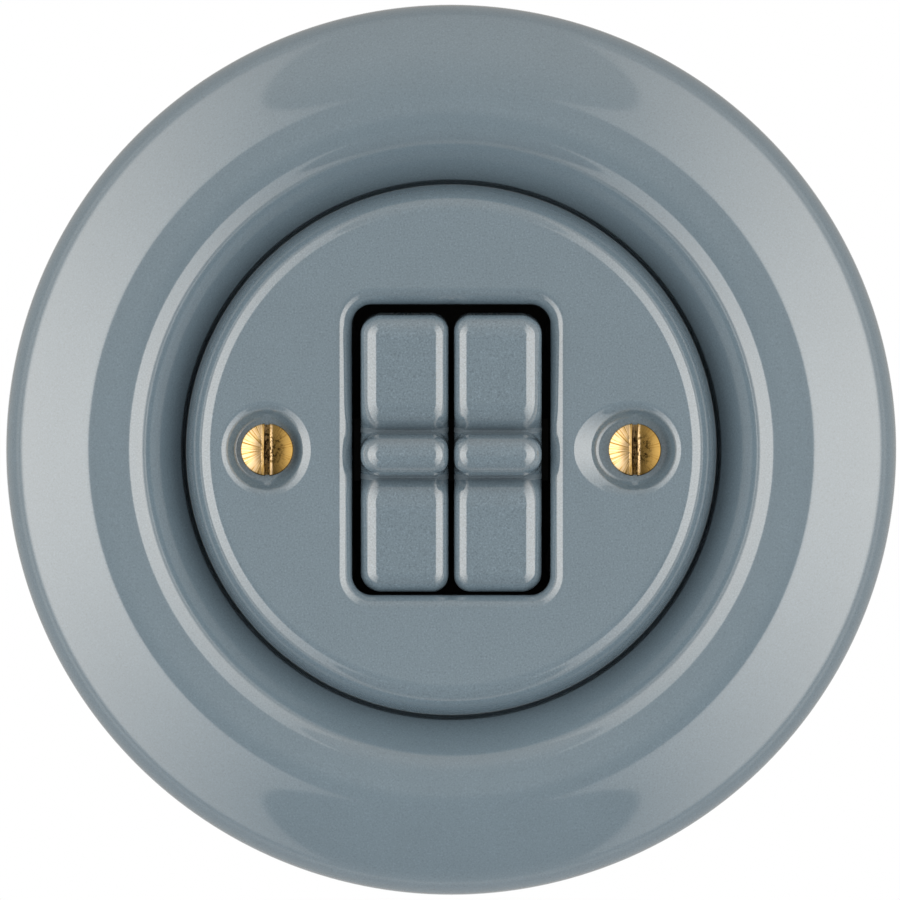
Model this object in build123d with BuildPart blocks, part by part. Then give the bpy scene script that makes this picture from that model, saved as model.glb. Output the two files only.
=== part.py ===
from build123d import *

import os
from math import cos, radians, sin, tan

# Porcelain wall switch with two rocker keys. Millimetres, +X to the right, +Z up, the viewer on the -Y side.
# The origin is the centre of the switch on the wall plane. A height is measured out of the wall, so that
# height h lies at y = -h, and what is sunk in the wall box has a negative height.

# Surround: overall size, and the arcs of its section from the rim over the crown down to the cover's seat
surround_diameter = 100.0
surround_height = 12.0
surround_wall = 3.6
rim_arc = 4.2
shoulder_arc = 22.5
crown_arc = 8.6
lip_arc = 4.3
bowl_arc = 14.0
rim_angle = 38.0
shoulder_angle = 17.0
lip_angle = 38.0
bowl_angle = 46.0
bowl_depth = 5.45
rebate_depth = 2.1
ledge_thickness = 1.7
foot_chamfer = 0.5

# Cover disc and the dished seats of its screws
disc_gap = 0.5
disc_proud = 0.14
disc_thickness = 4.2
disc_edge_arc = 2.6
disc_edge_angle = 82.0
disc_overlap = 2.3
window_corner = 1.7
window_edge = 2.6
dish_lip_arc = 1.5
dish_cove_arc = 1.2
dish_angle = 58.0
dish_depth = 1.5
dish_floor_margin = 0.2

# Cover screws and the pillars that take them
cover_screw_edge = 9.2
cover_screw_diameter = 2.9
cover_screw_head_diameter = 5.9
cover_screw_head_side = 0.9
cover_screw_head_taper = 0.3
cover_screw_dome = 0.75
cover_screw_hole_clearance = 0.25
cover_screw_engagement = 4.0
screw_slot_width = 0.95
screw_slot_depth = 1.25
pillar_across_flats = 5.5
pillar_sides = 6
pillar_gap = 0.3
pillar_tenon_diameter = 3.6
thread_clearance = 0.05
thread_run_out = 0.8

# Rocker keys
key_width = 9.85
key_length = 31.2
key_gap = 0.6
key_side_gap = 0.45
key_end_gap = 0.3
key_tilt = 5.0
key_end_draft = 0.5
key_wall = 1.6
key_end_wall = 2.2
key_end_arc = 2.3
key_outer_edge = 2.0
key_inner_edge = 1.5
pad_proud = 0.85
pad_rise = 7.0
pad_thickness = 2.4
pad_roll = 7.2
pad_roll_angle = 22.0
ridge_radius = 2.4
ridge_cove = 0.35
ridge_flank = 80.0
bond_gap = 0.15

# Pivot, cradles and the bearing frame
pin_diameter = 2.0
running_clearance = 0.05
hub_wall = 1.4
bearing_cover = 0.35
bearing_length = 7.0
bearing_thickness = 2.2
bearing_play = 0.35
sweep_clearance = 0.35
cradle_belly = 1.0
barrel_diameter = 5.0
barrel_bore = 3.4
barrel_length = 11.0
spring_seat = 1.9
deck_gap = 0.5
deck_edge = 1.1
deck_thickness = 1.8
deck_corner = 5.0
boss_diameter = 6.0
boss_height = 2.0

# Spring and plunger
plunger_clearance = 0.1
plunger_head = 7.0
plunger_pilot_diameter = 1.4
plunger_pilot_length = 1.4
plunger_gap = 0.05
spring_wire = 0.5
spring_turns = 4
spring_clearance = 0.15

# Contact bridges and contacts
fulcrum_depth = 12.0
fulcrum_diameter = 2.0
fulcrum_clearance = 0.06
bridge_tilt = 8.0
bridge_length = 18.0
bridge_width = 5.0
bridge_thickness = 1.2
bridge_lift = 0.5
bridge_corner = 1.0
contact_arm = 7.0
moving_contact_diameter = 2.6
moving_contact_height = 0.7
fixed_contact_diameter = 3.0
fixed_contact_height = 0.8
contact_gap = 0.1

# Terminals and their clamp screws
tongue_thickness = 1.0
tongue_width = 4.0
common_tongue_width = 5.0
block_size = 6.6
block_height = 8.0
block_drop = 4.25
line_terminal_rim = 8.5
common_terminal_rim = 9.7
wire_bore = 3.0
wire_bore_depth = 7.0
clamp_screw_diameter = 2.5
clamp_screw_head_diameter = 3.8
clamp_screw_head_height = 1.4
clamp_screw_slot = 0.7
clamp_tip_gap = 0.2
clamp_head_gap = 0.15

# Support plate, base and the screws that hold them together
plate_diameter = 71.0
plate_thickness = 1.2
plate_window_width = 19.0
plate_window_height = 14.0
plate_window_corner = 3.0
box_screw_spacing = 60.0
box_slot_width = 3.8
box_slot_length = 7.0
base_diameter = 51.0
base_floor = 2.5
base_edge = 1.5
chamber_width = 8.0
chamber_length = 23.0
pocket_clearance = 0.15
wire_entry = 4.2
clamp_access_clearance = 0.3
base_screw_diameter = 2.9
base_screw_head_diameter = 5.0
base_screw_head_height = 2.0
base_screw_clearance = 0.15
base_screw_x = 13.5
base_screw_z = 12.5


def sin_of(angle):
    """Sine of an angle in degrees."""
    return sin(radians(angle))


def cos_of(angle):
    """Cosine of an angle in degrees."""
    return cos(radians(angle))


# Surround section: the radius of the crown, the foot of the bowl, and the seat in the rebate below it
surround_radius = surround_diameter / 2
crown_reach = crown_arc * sin_of(shoulder_angle)
shoulder_reach = shoulder_arc * (sin_of(rim_angle) - sin_of(shoulder_angle))
crown_radius = surround_radius - rim_arc * (1 - sin_of(rim_angle)) - shoulder_reach - crown_reach
lip_reach = lip_arc * (sin_of(lip_angle) - sin_of(shoulder_angle))
bowl_reach = bowl_arc * (sin_of(bowl_angle) - sin_of(lip_angle))
crown_drop = crown_arc * (1 - cos_of(shoulder_angle))
lip_drop = lip_arc * (cos_of(shoulder_angle) - cos_of(lip_angle))
bowl_drop = bowl_arc * (cos_of(lip_angle) - cos_of(bowl_angle))
wall_drop = bowl_depth - crown_drop - lip_drop - bowl_drop
wall_reach = wall_drop / tan(radians(bowl_angle))
bowl_foot = surround_height - bowl_depth
seat_radius = crown_radius - crown_reach - lip_reach - bowl_reach - wall_reach
seat_height = bowl_foot - rebate_depth
ledge_under = seat_height - ledge_thickness
ledge_root = seat_radius + surround_wall * sin_of(bowl_angle)

# Cover disc
disc_radius = seat_radius - disc_gap
disc_top = surround_height + disc_proud
disc_under = disc_top - disc_thickness
opening_radius = disc_radius - disc_overlap
cover_screw_x = disc_radius - cover_screw_edge
cover_screw_spacing = 2 * cover_screw_x
dish_floor = disc_top - dish_depth
dish_floor_flat = cover_screw_head_diameter / 2 + dish_floor_margin
dish_floor_radius = dish_floor_flat + dish_cove_arc * tan(radians(dish_angle / 2))
dish_mouth_radius = dish_floor_radius + dish_depth / tan(radians(dish_angle))
pillar_top = disc_under - pillar_gap

# Rocker keys: levels above the pivot are measured along the key's own outward direction
key_x = (key_gap + key_width) / 2
pivot_height = disc_top + pad_proud - pad_rise
pin_radius = pin_diameter / 2
bearing_top = pin_radius + bearing_cover
key_bottom = bearing_top + sweep_clearance + bearing_length / 2 * sin_of(key_tilt)
key_half = key_length / 2
pad_end = key_half - (pad_rise - key_bottom) * tan(radians(key_end_draft))
valley_reach = ridge_cove * (sin_of(ridge_flank) + sin_of(pad_roll_angle))
ridge_foot = ridge_radius * sin_of(ridge_flank) + valley_reach + pad_roll * sin_of(pad_roll_angle)
window_width = 2 * key_width + key_gap + 2 * key_side_gap
end_lever = (pad_end - key_end_arc) * cos_of(key_tilt) + (pad_rise - key_end_arc) * sin_of(key_tilt)
key_reach = end_lever + key_end_arc
window_height = 2 * (key_reach + key_end_gap)
pocket_top = pad_rise - pad_thickness
pocket_width = key_width - 2 * key_wall
pocket_length = key_length - 2 * key_end_wall

# Cradles and bearings
cradle_width = pocket_width - 2 * bond_gap
cradle_length = pocket_length - 2 * bond_gap
hub_radius = pin_radius + hub_wall
bearing_x = key_x + cradle_width / 2 + bearing_play
web_half = key_x - cradle_width / 2 - bearing_play
deck_top = plate_thickness + deck_thickness
pillar_corner = pillar_across_flats / 2 / cos_of(180 / pillar_sides)
deck_width = 2 * (base_screw_x + deck_edge) + boss_diameter
deck_height = 2 * (base_screw_z + deck_edge) + boss_diameter
barrel_swing = barrel_diameter / 2 + barrel_length * sin_of(key_tilt)
slot_half = max(hub_radius, barrel_swing) + sweep_clearance
slot_width = cradle_width + 2 * bearing_play

# Contact levels, worked out from the bridge at the end of its travel
fulcrum_radius = fulcrum_diameter / 2
bridge_top = bridge_lift + bridge_thickness
plunger_radius = barrel_bore / 2 - plunger_clearance
tip_level = pivot_height + fulcrum_depth - bridge_top - plunger_gap
moving_contact_level = bridge_lift - moving_contact_height
contact_reach = contact_arm + moving_contact_diameter / 2
contact_sink = contact_reach * sin_of(bridge_tilt) - moving_contact_level * cos_of(bridge_tilt)
fixed_contact_top = -fulcrum_depth - contact_sink - contact_gap
tongue_top = fixed_contact_top - fixed_contact_height
chamber_floor = tongue_top - tongue_thickness
block_bottom = chamber_floor - block_drop
block_top = block_bottom + block_height
base_back = block_bottom - base_floor
clamp_height = block_bottom + wire_bore_depth / 2
line_terminal_radius = base_diameter / 2 - line_terminal_rim
common_terminal_radius = base_diameter / 2 - common_terminal_rim

match_tolerance = 0.001
sides = {"left": -1, "right": 1}
line_ends = {"upper": 0, "lower": 180}
common_spokes = {"left": 90, "right": 270}


def front(height):
    """Plane parallel to the wall at a height, facing the viewer."""
    return Plane.XZ.offset(height)


def section_at(x):
    """Section plane through a depth axis at x: local x is the radius, local y the height."""
    return Plane(origin=(x, 0, 0), x_dir=(1, 0, 0), z_dir=(0, 0, -1))


def depth_axis(x):
    """Axis square to the wall at x."""
    return Axis((x, 0, 0), (0, 1, 0))


def tilted(x, height, angle):
    """Side plane of a rocking piece: local x runs up along it, local y towards the viewer."""
    upward = (0, -sin_of(angle), cos_of(angle))
    return Plane(origin=(x, -height, 0), x_dir=upward, z_dir=(1, 0, 0))


def across(side_plane, level):
    """Plane square to a side plane's local y at a level, with local x to the right."""
    origin = side_plane.from_local_coords((0, level, 0))
    return Plane(origin=origin, x_dir=(1, 0, 0), z_dir=side_plane.y_dir)


def spoke(angle, x, height):
    """Plane facing the viewer whose local y points outward along a terminal's spoke."""
    return Plane(origin=(x, -height, 0), x_dir=(cos_of(angle), 0, sin_of(angle)), z_dir=(0, -1, 0))


def along(spoke_plane, radius):
    """Plane square to a spoke at a radius, facing outward, with local y towards the viewer."""
    origin = spoke_plane.from_local_coords((0, radius, 0))
    return Plane(origin=origin, x_dir=-spoke_plane.x_dir, z_dir=spoke_plane.y_dir)


def save(builder, name):
    """Label a finished piece and write it to its own file."""
    builder.part.label = name
    export_step(builder.part, f"parts/{name}.step")


def round_edges(builder, radius):
    """The round edges of a piece that have a radius."""
    circles = builder.edges().filter_by(GeomType.CIRCLE)
    return circles.filter_by(lambda edge: abs(edge.radius - radius) < match_tolerance)


def terminal_stations():
    """Name, spoke angle, centre, tongue's inner end, block's radius and tongue width of each terminal."""
    stations = []
    for side, sign in sides.items():
        for end, angle in line_ends.items():
            inner = contact_arm - fixed_contact_diameter / 2
            name = f"{side}_{end}_terminal"
            stations.append((name, angle, sign * key_x, inner, line_terminal_radius, tongue_width))
        inner = key_x - bridge_width / 2
        name = f"{side}_common_terminal"
        stations.append((name, common_spokes[side], 0, inner, common_terminal_radius, common_tongue_width))
    return stations


def inset(point, angle):
    """Point one wall thickness below a point of the surround's face, where the face slopes by angle."""
    return (point.X - surround_wall * sin_of(angle), point.Y - surround_wall * cos_of(angle))


os.makedirs("parts", exist_ok=True)

# Surround: a round frame with a rolled crown, a bowl-shaped opening and a rebate that carries the cover disc
with BuildPart() as surround_ring:
    with BuildSketch(section_at(0)):
        with BuildLine():
            crown_point = (crown_radius, surround_height)
            outer_crown = JernArc(crown_point, (1, 0), crown_arc, -shoulder_angle)
            shoulder = JernArc(outer_crown @ 1, outer_crown % 1, shoulder_arc, shoulder_angle - rim_angle)
            rim = JernArc(shoulder @ 1, shoulder % 1, rim_arc, rim_angle - 90)
            inner_crown = JernArc(crown_point, (-1, 0), crown_arc, shoulder_angle)
            lip = JernArc(inner_crown @ 1, inner_crown % 1, lip_arc, lip_angle - shoulder_angle)
            bowl = JernArc(lip @ 1, lip % 1, bowl_arc, bowl_angle - lip_angle)
            Polyline(
                rim @ 1,
                (surround_radius, foot_chamfer),
                (surround_radius - foot_chamfer, 0),
                (surround_radius - surround_wall, 0),
                inset(shoulder @ 1, rim_angle),
                inset(outer_crown @ 1, shoulder_angle),
                inset(inner_crown @ 1, -shoulder_angle),
                inset(lip @ 1, -lip_angle),
                inset(bowl @ 1, -bowl_angle),
                (ledge_root, ledge_under),
                (opening_radius, ledge_under),
                (opening_radius, seat_height),
                (seat_radius, seat_height),
                (seat_radius, bowl_foot),
                bowl @ 1,
            )
        make_face()
    revolve(axis=Axis.Y)
save(surround_ring, "surround_ring")

# Cover disc: a plate with a drafted, rounded skirt, the key window and two dished screw seats
with BuildPart() as cover_disc:
    edge_drop = disc_edge_arc * (1 - cos_of(disc_edge_angle))
    edge_draft = (disc_top - seat_height - edge_drop) / tan(radians(disc_edge_angle))
    flat_radius = disc_radius - edge_draft - disc_edge_arc * sin_of(disc_edge_angle)
    with BuildSketch(section_at(0)):
        with BuildLine():
            face = Line((0, disc_top), (flat_radius, disc_top))
            edge = JernArc(face @ 1, (1, 0), disc_edge_arc, -disc_edge_angle)
            Polyline(
                edge @ 1,
                (disc_radius, seat_height),
                (opening_radius, seat_height),
                (opening_radius, disc_under),
                (0, disc_under),
                face @ 0,
            )
        make_face()
    revolve(axis=Axis.Y)
    with BuildSketch(front(disc_top)):
        RectangleRounded(window_width, window_height, window_corner)
    extrude(amount=-disc_thickness, mode=Mode.SUBTRACT)
    fillet(cover_disc.faces().sort_by(Axis.Y)[0].inner_wires()[0].edges(), window_edge)
    for x in (-cover_screw_x, cover_screw_x):
        with BuildSketch(section_at(x)):
            with BuildLine():
                Polyline(
                    (0, dish_floor),
                    (dish_floor_radius, dish_floor),
                    (dish_mouth_radius, disc_top),
                    (0, disc_top),
                    close=True,
                )
            make_face()
        revolve(axis=depth_axis(x), mode=Mode.SUBTRACT)
    fillet(round_edges(cover_disc, dish_mouth_radius), dish_lip_arc)
    fillet(round_edges(cover_disc, dish_floor_radius), dish_cove_arc)
    with BuildSketch(front(disc_under)):
        with GridLocations(cover_screw_spacing, 0, 2, 1):
            Circle(cover_screw_diameter / 2 + cover_screw_hole_clearance)
    extrude(amount=disc_thickness, mode=Mode.SUBTRACT)
save(cover_disc, "cover_disc")

# Cover screws: turned brass heads, slightly domed and tapered below the rim, with an upright slot
with BuildPart() as cover_screws:
    head_side_top = dish_floor + cover_screw_head_side
    head_top = head_side_top + cover_screw_dome
    for x in (-cover_screw_x, cover_screw_x):
        with BuildSketch(section_at(x)):
            with BuildLine():
                dome_rim = (cover_screw_head_diameter / 2, head_side_top)
                dome = TangentArc((0, head_top), dome_rim, tangent=(1, 0))
                Polyline(
                    dome @ 1,
                    (cover_screw_head_diameter / 2 - cover_screw_head_taper, dish_floor),
                    (cover_screw_diameter / 2, dish_floor),
                    (cover_screw_diameter / 2, pillar_top - cover_screw_engagement),
                    (0, pillar_top - cover_screw_engagement),
                    dome @ 0,
                )
            make_face()
        revolve(axis=depth_axis(x))
    with BuildSketch(front(head_top)):
        with GridLocations(cover_screw_spacing, 0, 2, 1):
            Rectangle(screw_slot_width, 2 * cover_screw_head_diameter)
    extrude(amount=-screw_slot_depth, mode=Mode.SUBTRACT)
save(cover_screws, "cover_screws")

# Pillars: hexagonal brass stand-offs with a tenon in the plate and a tapped hole for the cover screw
with BuildPart() as cover_pillars:
    with BuildSketch(front(plate_thickness)):
        with GridLocations(cover_screw_spacing, 0, 2, 1):
            RegularPolygon(pillar_across_flats / 2, pillar_sides, major_radius=False)
    extrude(amount=pillar_top - plate_thickness)
    with BuildSketch(front(0)):
        with GridLocations(cover_screw_spacing, 0, 2, 1):
            Circle(pillar_tenon_diameter / 2)
    extrude(amount=plate_thickness)
    with BuildSketch(front(pillar_top)):
        with GridLocations(cover_screw_spacing, 0, 2, 1):
            Circle(cover_screw_diameter / 2 + thread_clearance)
    extrude(amount=-cover_screw_engagement - thread_run_out, mode=Mode.SUBTRACT)
save(cover_pillars, "cover_pillars")

# Support plate: a round steel plate on the wall, slotted for the screws of the wall box
with BuildPart() as support_plate:
    with BuildSketch(front(0)):
        Circle(plate_diameter / 2)
        RectangleRounded(plate_window_width, plate_window_height, plate_window_corner, mode=Mode.SUBTRACT)
        with GridLocations(box_screw_spacing, 0, 2, 1):
            SlotOverall(box_slot_length, box_slot_width, mode=Mode.SUBTRACT)
        with GridLocations(cover_screw_spacing, 0, 2, 1):
            Circle(pillar_tenon_diameter / 2 + thread_clearance, mode=Mode.SUBTRACT)
        with GridLocations(2 * base_screw_x, 2 * base_screw_z, 2, 2):
            Circle(base_screw_diameter / 2 + base_screw_clearance, mode=Mode.SUBTRACT)
    extrude(amount=plate_thickness)
save(support_plate, "support_plate")

# Carrier: a deck notched for the pillars, with three bearings for the pivot pin and four screw bosses
with BuildPart() as carrier:
    with BuildSketch(front(plate_thickness)):
        RectangleRounded(deck_width, deck_height, deck_corner)
        with GridLocations(cover_screw_spacing, 0, 2, 1):
            Circle(pillar_corner + deck_gap, mode=Mode.SUBTRACT)
    extrude(amount=deck_thickness)
    with BuildSketch(front(deck_top)):
        Rectangle(2 * web_half, bearing_length)
        with GridLocations(2 * bearing_x + bearing_thickness, 0, 2, 1):
            Rectangle(bearing_thickness, bearing_length)
    extrude(amount=pivot_height + bearing_top - deck_top)
    with BuildSketch(front(deck_top)):
        with GridLocations(2 * base_screw_x, 2 * base_screw_z, 2, 2):
            Circle(boss_diameter / 2)
    extrude(amount=boss_height)
    with BuildSketch(front(plate_thickness)):
        with GridLocations(2 * key_x, 0, 2, 1):
            Rectangle(slot_width, 2 * slot_half)
    extrude(amount=deck_thickness, mode=Mode.SUBTRACT)
    with BuildSketch(front(plate_thickness)):
        with GridLocations(2 * base_screw_x, 2 * base_screw_z, 2, 2):
            Circle(base_screw_diameter / 2 + thread_clearance)
    extrude(amount=deck_thickness + boss_height - thread_run_out, mode=Mode.SUBTRACT)
    with BuildSketch(tilted(0, pivot_height, 0)):
        Circle(pin_radius + running_clearance)
    extrude(amount=bearing_x + bearing_thickness, both=True, mode=Mode.SUBTRACT)
save(carrier, "carrier")

# Pivot pin: a plain steel pin through all three bearings
with BuildPart() as pivot_pin:
    with BuildSketch(tilted(0, pivot_height, 0)):
        Circle(pin_radius)
    extrude(amount=bearing_x + bearing_thickness, both=True)
save(pivot_pin, "pivot_pin")

# Base: a round ceramic body with two contact chambers, six terminal pockets and their wire and screw holes
with BuildPart() as switch_base:
    with BuildSketch(front(base_back)):
        Circle(base_diameter / 2)
    extrude(amount=-base_back)
    chamfer(switch_base.faces().sort_by(Axis.Y)[-1].edges(), base_edge)
    with BuildSketch(front(0)):
        with GridLocations(2 * key_x, 0, 2, 1):
            Rectangle(chamber_width, chamber_length)
    extrude(amount=chamber_floor, mode=Mode.SUBTRACT)
    for _, angle, x, inner, radius, width in terminal_stations():
        with BuildSketch(spoke(angle, x, chamber_floor)):
            with Locations((0, (inner + radius) / 2)):
                Rectangle(width + 2 * pocket_clearance, radius - inner)
        extrude(amount=-chamber_floor, mode=Mode.SUBTRACT)
        with BuildSketch(spoke(angle, x, block_bottom)):
            with Locations((0, radius)):
                Rectangle(block_size + 2 * pocket_clearance, block_size + 2 * pocket_clearance)
        extrude(amount=-block_bottom, mode=Mode.SUBTRACT)
        with BuildSketch(spoke(angle, x, base_back)):
            with Locations((0, radius)):
                Circle(wire_entry / 2)
        extrude(amount=base_floor, mode=Mode.SUBTRACT)
        with BuildSketch(along(spoke(angle, x, clamp_height), radius)):
            Circle(clamp_screw_head_diameter / 2 + clamp_access_clearance)
        extrude(amount=base_diameter / 2, mode=Mode.SUBTRACT)
    with BuildSketch(front(base_back)):
        with GridLocations(2 * base_screw_x, 2 * base_screw_z, 2, 2):
            Circle(base_screw_diameter / 2 + base_screw_clearance)
    extrude(amount=-base_back, mode=Mode.SUBTRACT)
    with BuildSketch(front(base_back)):
        with GridLocations(2 * base_screw_x, 2 * base_screw_z, 2, 2):
            Circle(base_screw_head_diameter / 2 + base_screw_clearance)
    extrude(amount=base_screw_head_height, mode=Mode.SUBTRACT)
save(switch_base, "switch_base")

# Base screws: slotted screws from behind through base and plate into the carrier's bosses
with BuildPart() as base_screws:
    with BuildSketch(front(base_back)):
        with GridLocations(2 * base_screw_x, 2 * base_screw_z, 2, 2):
            Circle(base_screw_head_diameter / 2)
    extrude(amount=base_screw_head_height)
    with BuildSketch(front(base_back + base_screw_head_height)):
        with GridLocations(2 * base_screw_x, 2 * base_screw_z, 2, 2):
            Circle(base_screw_diameter / 2)
    extrude(amount=deck_top + boss_height - 2 * thread_run_out - base_back - base_screw_head_height)
    with BuildSketch(front(base_back)):
        with GridLocations(2 * base_screw_x, 2 * base_screw_z, 2, 2):
            Rectangle(screw_slot_width, 2 * base_screw_head_diameter)
    extrude(amount=screw_slot_depth, mode=Mode.SUBTRACT)
save(base_screws, "base_screws")


# Terminals: a clamp block with a wire bore and a tapped hole, and a tongue into the contact chamber.
# A common terminal's tongue ends in the rounded fulcrum of the bridge.
for name, angle, x, inner, radius, width in terminal_stations():
    station = spoke(angle, x, 0)
    with BuildPart() as terminal:
        with BuildSketch(station.offset(chamber_floor)):
            with Locations((0, (inner + radius) / 2)):
                Rectangle(width, radius - inner)
        extrude(amount=tongue_thickness)
        with BuildSketch(station.offset(block_bottom)):
            with Locations((0, radius)):
                Rectangle(block_size, block_size)
        extrude(amount=block_height)
        with BuildSketch(station.offset(block_bottom)):
            with Locations((0, radius)):
                Circle(wire_bore / 2)
        extrude(amount=wire_bore_depth, mode=Mode.SUBTRACT)
        with BuildSketch(along(station.offset(clamp_height), radius)):
            Circle(clamp_screw_diameter / 2 + thread_clearance)
        extrude(amount=block_size / 2, mode=Mode.SUBTRACT)
        if angle in common_spokes.values():
            with BuildSketch(along(station.offset(-fulcrum_depth), inner)):
                Circle(fulcrum_radius)
                with Locations((0, (tongue_top + fulcrum_depth) / 2)):
                    Rectangle(fulcrum_diameter, -fulcrum_depth - tongue_top)
            extrude(amount=bridge_width)
    save(terminal, name)

# Fixed contacts: one rivet head on each line terminal's tongue
with BuildPart() as fixed_contacts:
    with BuildSketch(front(tongue_top)):
        with GridLocations(2 * key_x, 2 * contact_arm, 2, 2):
            Circle(fixed_contact_diameter / 2)
    extrude(amount=fixed_contact_height)
save(fixed_contacts, "fixed_contacts")

# Terminal screws: slotted clamp screws, backed off clear of the wire bores
with BuildPart() as terminal_screws:
    for _, angle, x, _, radius, _ in terminal_stations():
        axis_plane = spoke(angle, x, clamp_height)
        tip = radius + wire_bore / 2 + clamp_tip_gap
        head = radius + block_size / 2 + clamp_head_gap
        with BuildSketch(along(axis_plane, tip)):
            Circle(clamp_screw_diameter / 2)
        extrude(amount=head - tip)
        with BuildSketch(along(axis_plane, head)):
            Circle(clamp_screw_head_diameter / 2)
        extrude(amount=clamp_screw_head_height)
        with BuildSketch(along(axis_plane, head + clamp_screw_head_height)):
            Rectangle(2 * clamp_screw_head_diameter, clamp_screw_slot)
        extrude(amount=-clamp_screw_slot, mode=Mode.SUBTRACT)
save(terminal_screws, "terminal_screws")


def side_rim(builder, plane, end):
    """The edges of a key's left (0) or right (-1) side, without the one along its open bottom."""
    side_face = builder.faces().sort_by(Axis.X)[end]
    return side_face.edges().sort_by(lambda edge: plane.to_local_coords(edge.center()).Y)[1:]


for side, sign in sides.items():
    rest = tilted(sign * key_x, pivot_height, key_tilt)
    outer, inner = (-1, 0) if sign > 0 else (0, -1)

    # Rocker key: two pillowed pads that roll down beside a round finger ridge, hollow below for the cradle
    with BuildPart() as rocker_key:
        with BuildSketch(rest) as side_view:
            with BuildLine():
                lower_pad = Line((-pad_end, pad_rise), (-ridge_foot, pad_rise))
                lower_roll = JernArc(lower_pad @ 1, (1, 0), pad_roll, -pad_roll_angle)
                valley_turn = pad_roll_angle + ridge_flank
                lower_cove = JernArc(lower_roll @ 1, lower_roll % 1, ridge_cove, valley_turn)
                ridge = JernArc(lower_cove @ 1, lower_cove % 1, ridge_radius, -2 * ridge_flank)
                upper_cove = JernArc(ridge @ 1, ridge % 1, ridge_cove, valley_turn)
                upper_roll = JernArc(upper_cove @ 1, upper_cove % 1, pad_roll, -pad_roll_angle)
                Polyline(
                    upper_roll @ 1,
                    (pad_end, pad_rise),
                    (key_half, key_bottom),
                    (-key_half, key_bottom),
                    lower_pad @ 0,
                )
            make_face()
            by_length = side_view.vertices().sort_by(Axis.X)
            fillet([by_length[1], by_length[-2]], key_end_arc)
        extrude(amount=key_width / 2, both=True)
        fillet(side_rim(rocker_key, rest, outer), key_outer_edge)
        fillet(side_rim(rocker_key, rest, inner), key_inner_edge)
        with BuildSketch(across(rest, key_bottom)):
            Rectangle(pocket_width, pocket_length)
        extrude(amount=pocket_top - key_bottom, mode=Mode.SUBTRACT)
    save(rocker_key, f"{side}_rocker_key")

    # Cradle: a bar bonded into the key, with the pivot hub and the spring barrel below it
    with BuildPart() as cradle:
        with BuildSketch(across(rest, cradle_belly)):
            Rectangle(cradle_width, cradle_length)
        extrude(amount=pocket_top - cradle_belly)
        with BuildSketch(rest):
            Circle(hub_radius)
        extrude(amount=cradle_width / 2, both=True)
        with BuildSketch(across(rest, -barrel_length)):
            Circle(barrel_diameter / 2)
        extrude(amount=barrel_length + cradle_belly)
        with BuildSketch(across(rest, -barrel_length)):
            Circle(barrel_bore / 2)
        extrude(amount=barrel_length - spring_seat, mode=Mode.SUBTRACT)
        with BuildSketch(rest):
            Circle(pin_radius + running_clearance)
        extrude(amount=cradle_width / 2, both=True, mode=Mode.SUBTRACT)
    save(cradle, f"{side}_cradle")

    # Plunger: a round-nosed pin that slides in the barrel, with a pilot inside the spring
    with BuildPart() as plunger:
        with BuildSketch(rest):
            with BuildLine():
                nose_rim = (plunger_radius, plunger_radius - tip_level)
                nose = TangentArc((0, -tip_level), nose_rim, tangent=(1, 0))
                Polyline(
                    nose @ 1,
                    (plunger_radius, -plunger_head),
                    (plunger_pilot_diameter / 2, -plunger_head),
                    (plunger_pilot_diameter / 2, plunger_pilot_length - plunger_head),
                    (0, plunger_pilot_length - plunger_head),
                    nose @ 0,
                )
            make_face()
        revolve(axis=Axis(rest.origin, rest.y_dir))
    save(plunger, f"{side}_plunger")

    # Spring: a compression coil between the barrel's end and the plunger's shoulder
    with BuildPart() as spring:
        coil_radius = barrel_bore / 2 - spring_clearance - spring_wire / 2
        coil_height = plunger_head - spring_seat - spring_wire
        coil_base = rest.from_local_coords((0, spring_wire / 2 - plunger_head, 0))
        with BuildLine():
            coil = Helix(coil_height / spring_turns, coil_height, coil_radius, coil_base, rest.y_dir)
        with BuildSketch(Plane(origin=coil @ 0, z_dir=coil % 0)):
            Circle(spring_wire / 2)
        sweep(is_frenet=True)
    save(spring, f"{side}_spring")

    # Contact bridge: a see-saw strip with a groove that rides on the fulcrum
    rocked = tilted(sign * key_x, -fulcrum_depth, -bridge_tilt)
    with BuildPart() as bridge:
        with BuildSketch(across(rocked, bridge_lift)):
            RectangleRounded(bridge_width, bridge_length, bridge_corner)
        extrude(amount=bridge_thickness)
        with BuildSketch(rocked):
            Circle(fulcrum_radius + fulcrum_clearance)
        extrude(amount=bridge_width / 2, both=True, mode=Mode.SUBTRACT)
    save(bridge, f"{side}_bridge")

    # Moving contacts: a rivet head under each end of the bridge
    with BuildPart() as bridge_contacts:
        with BuildSketch(across(rocked, moving_contact_level)):
            with GridLocations(0, 2 * contact_arm, 1, 2):
                Circle(moving_contact_diameter / 2)
        extrude(amount=moving_contact_height)
    save(bridge_contacts, f"{side}_bridge_contacts")
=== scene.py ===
"""Looks of the porcelain wall switch: glazed shells, brass screws, the finishes of the works, and the studio.

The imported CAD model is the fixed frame. Everything is in metres, +X to the right, +Z up, the viewer on the
-Y side. A height is measured out of the wall, so that height h lies at y = -h.
"""

import logging
from dataclasses import dataclass, field
from enum import Enum
from functools import reduce
from math import asin, cos, degrees, pi, radians, sin, sqrt, tan
from typing import ClassVar

import bmesh
import bpy
from mathutils import Matrix, Vector

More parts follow.
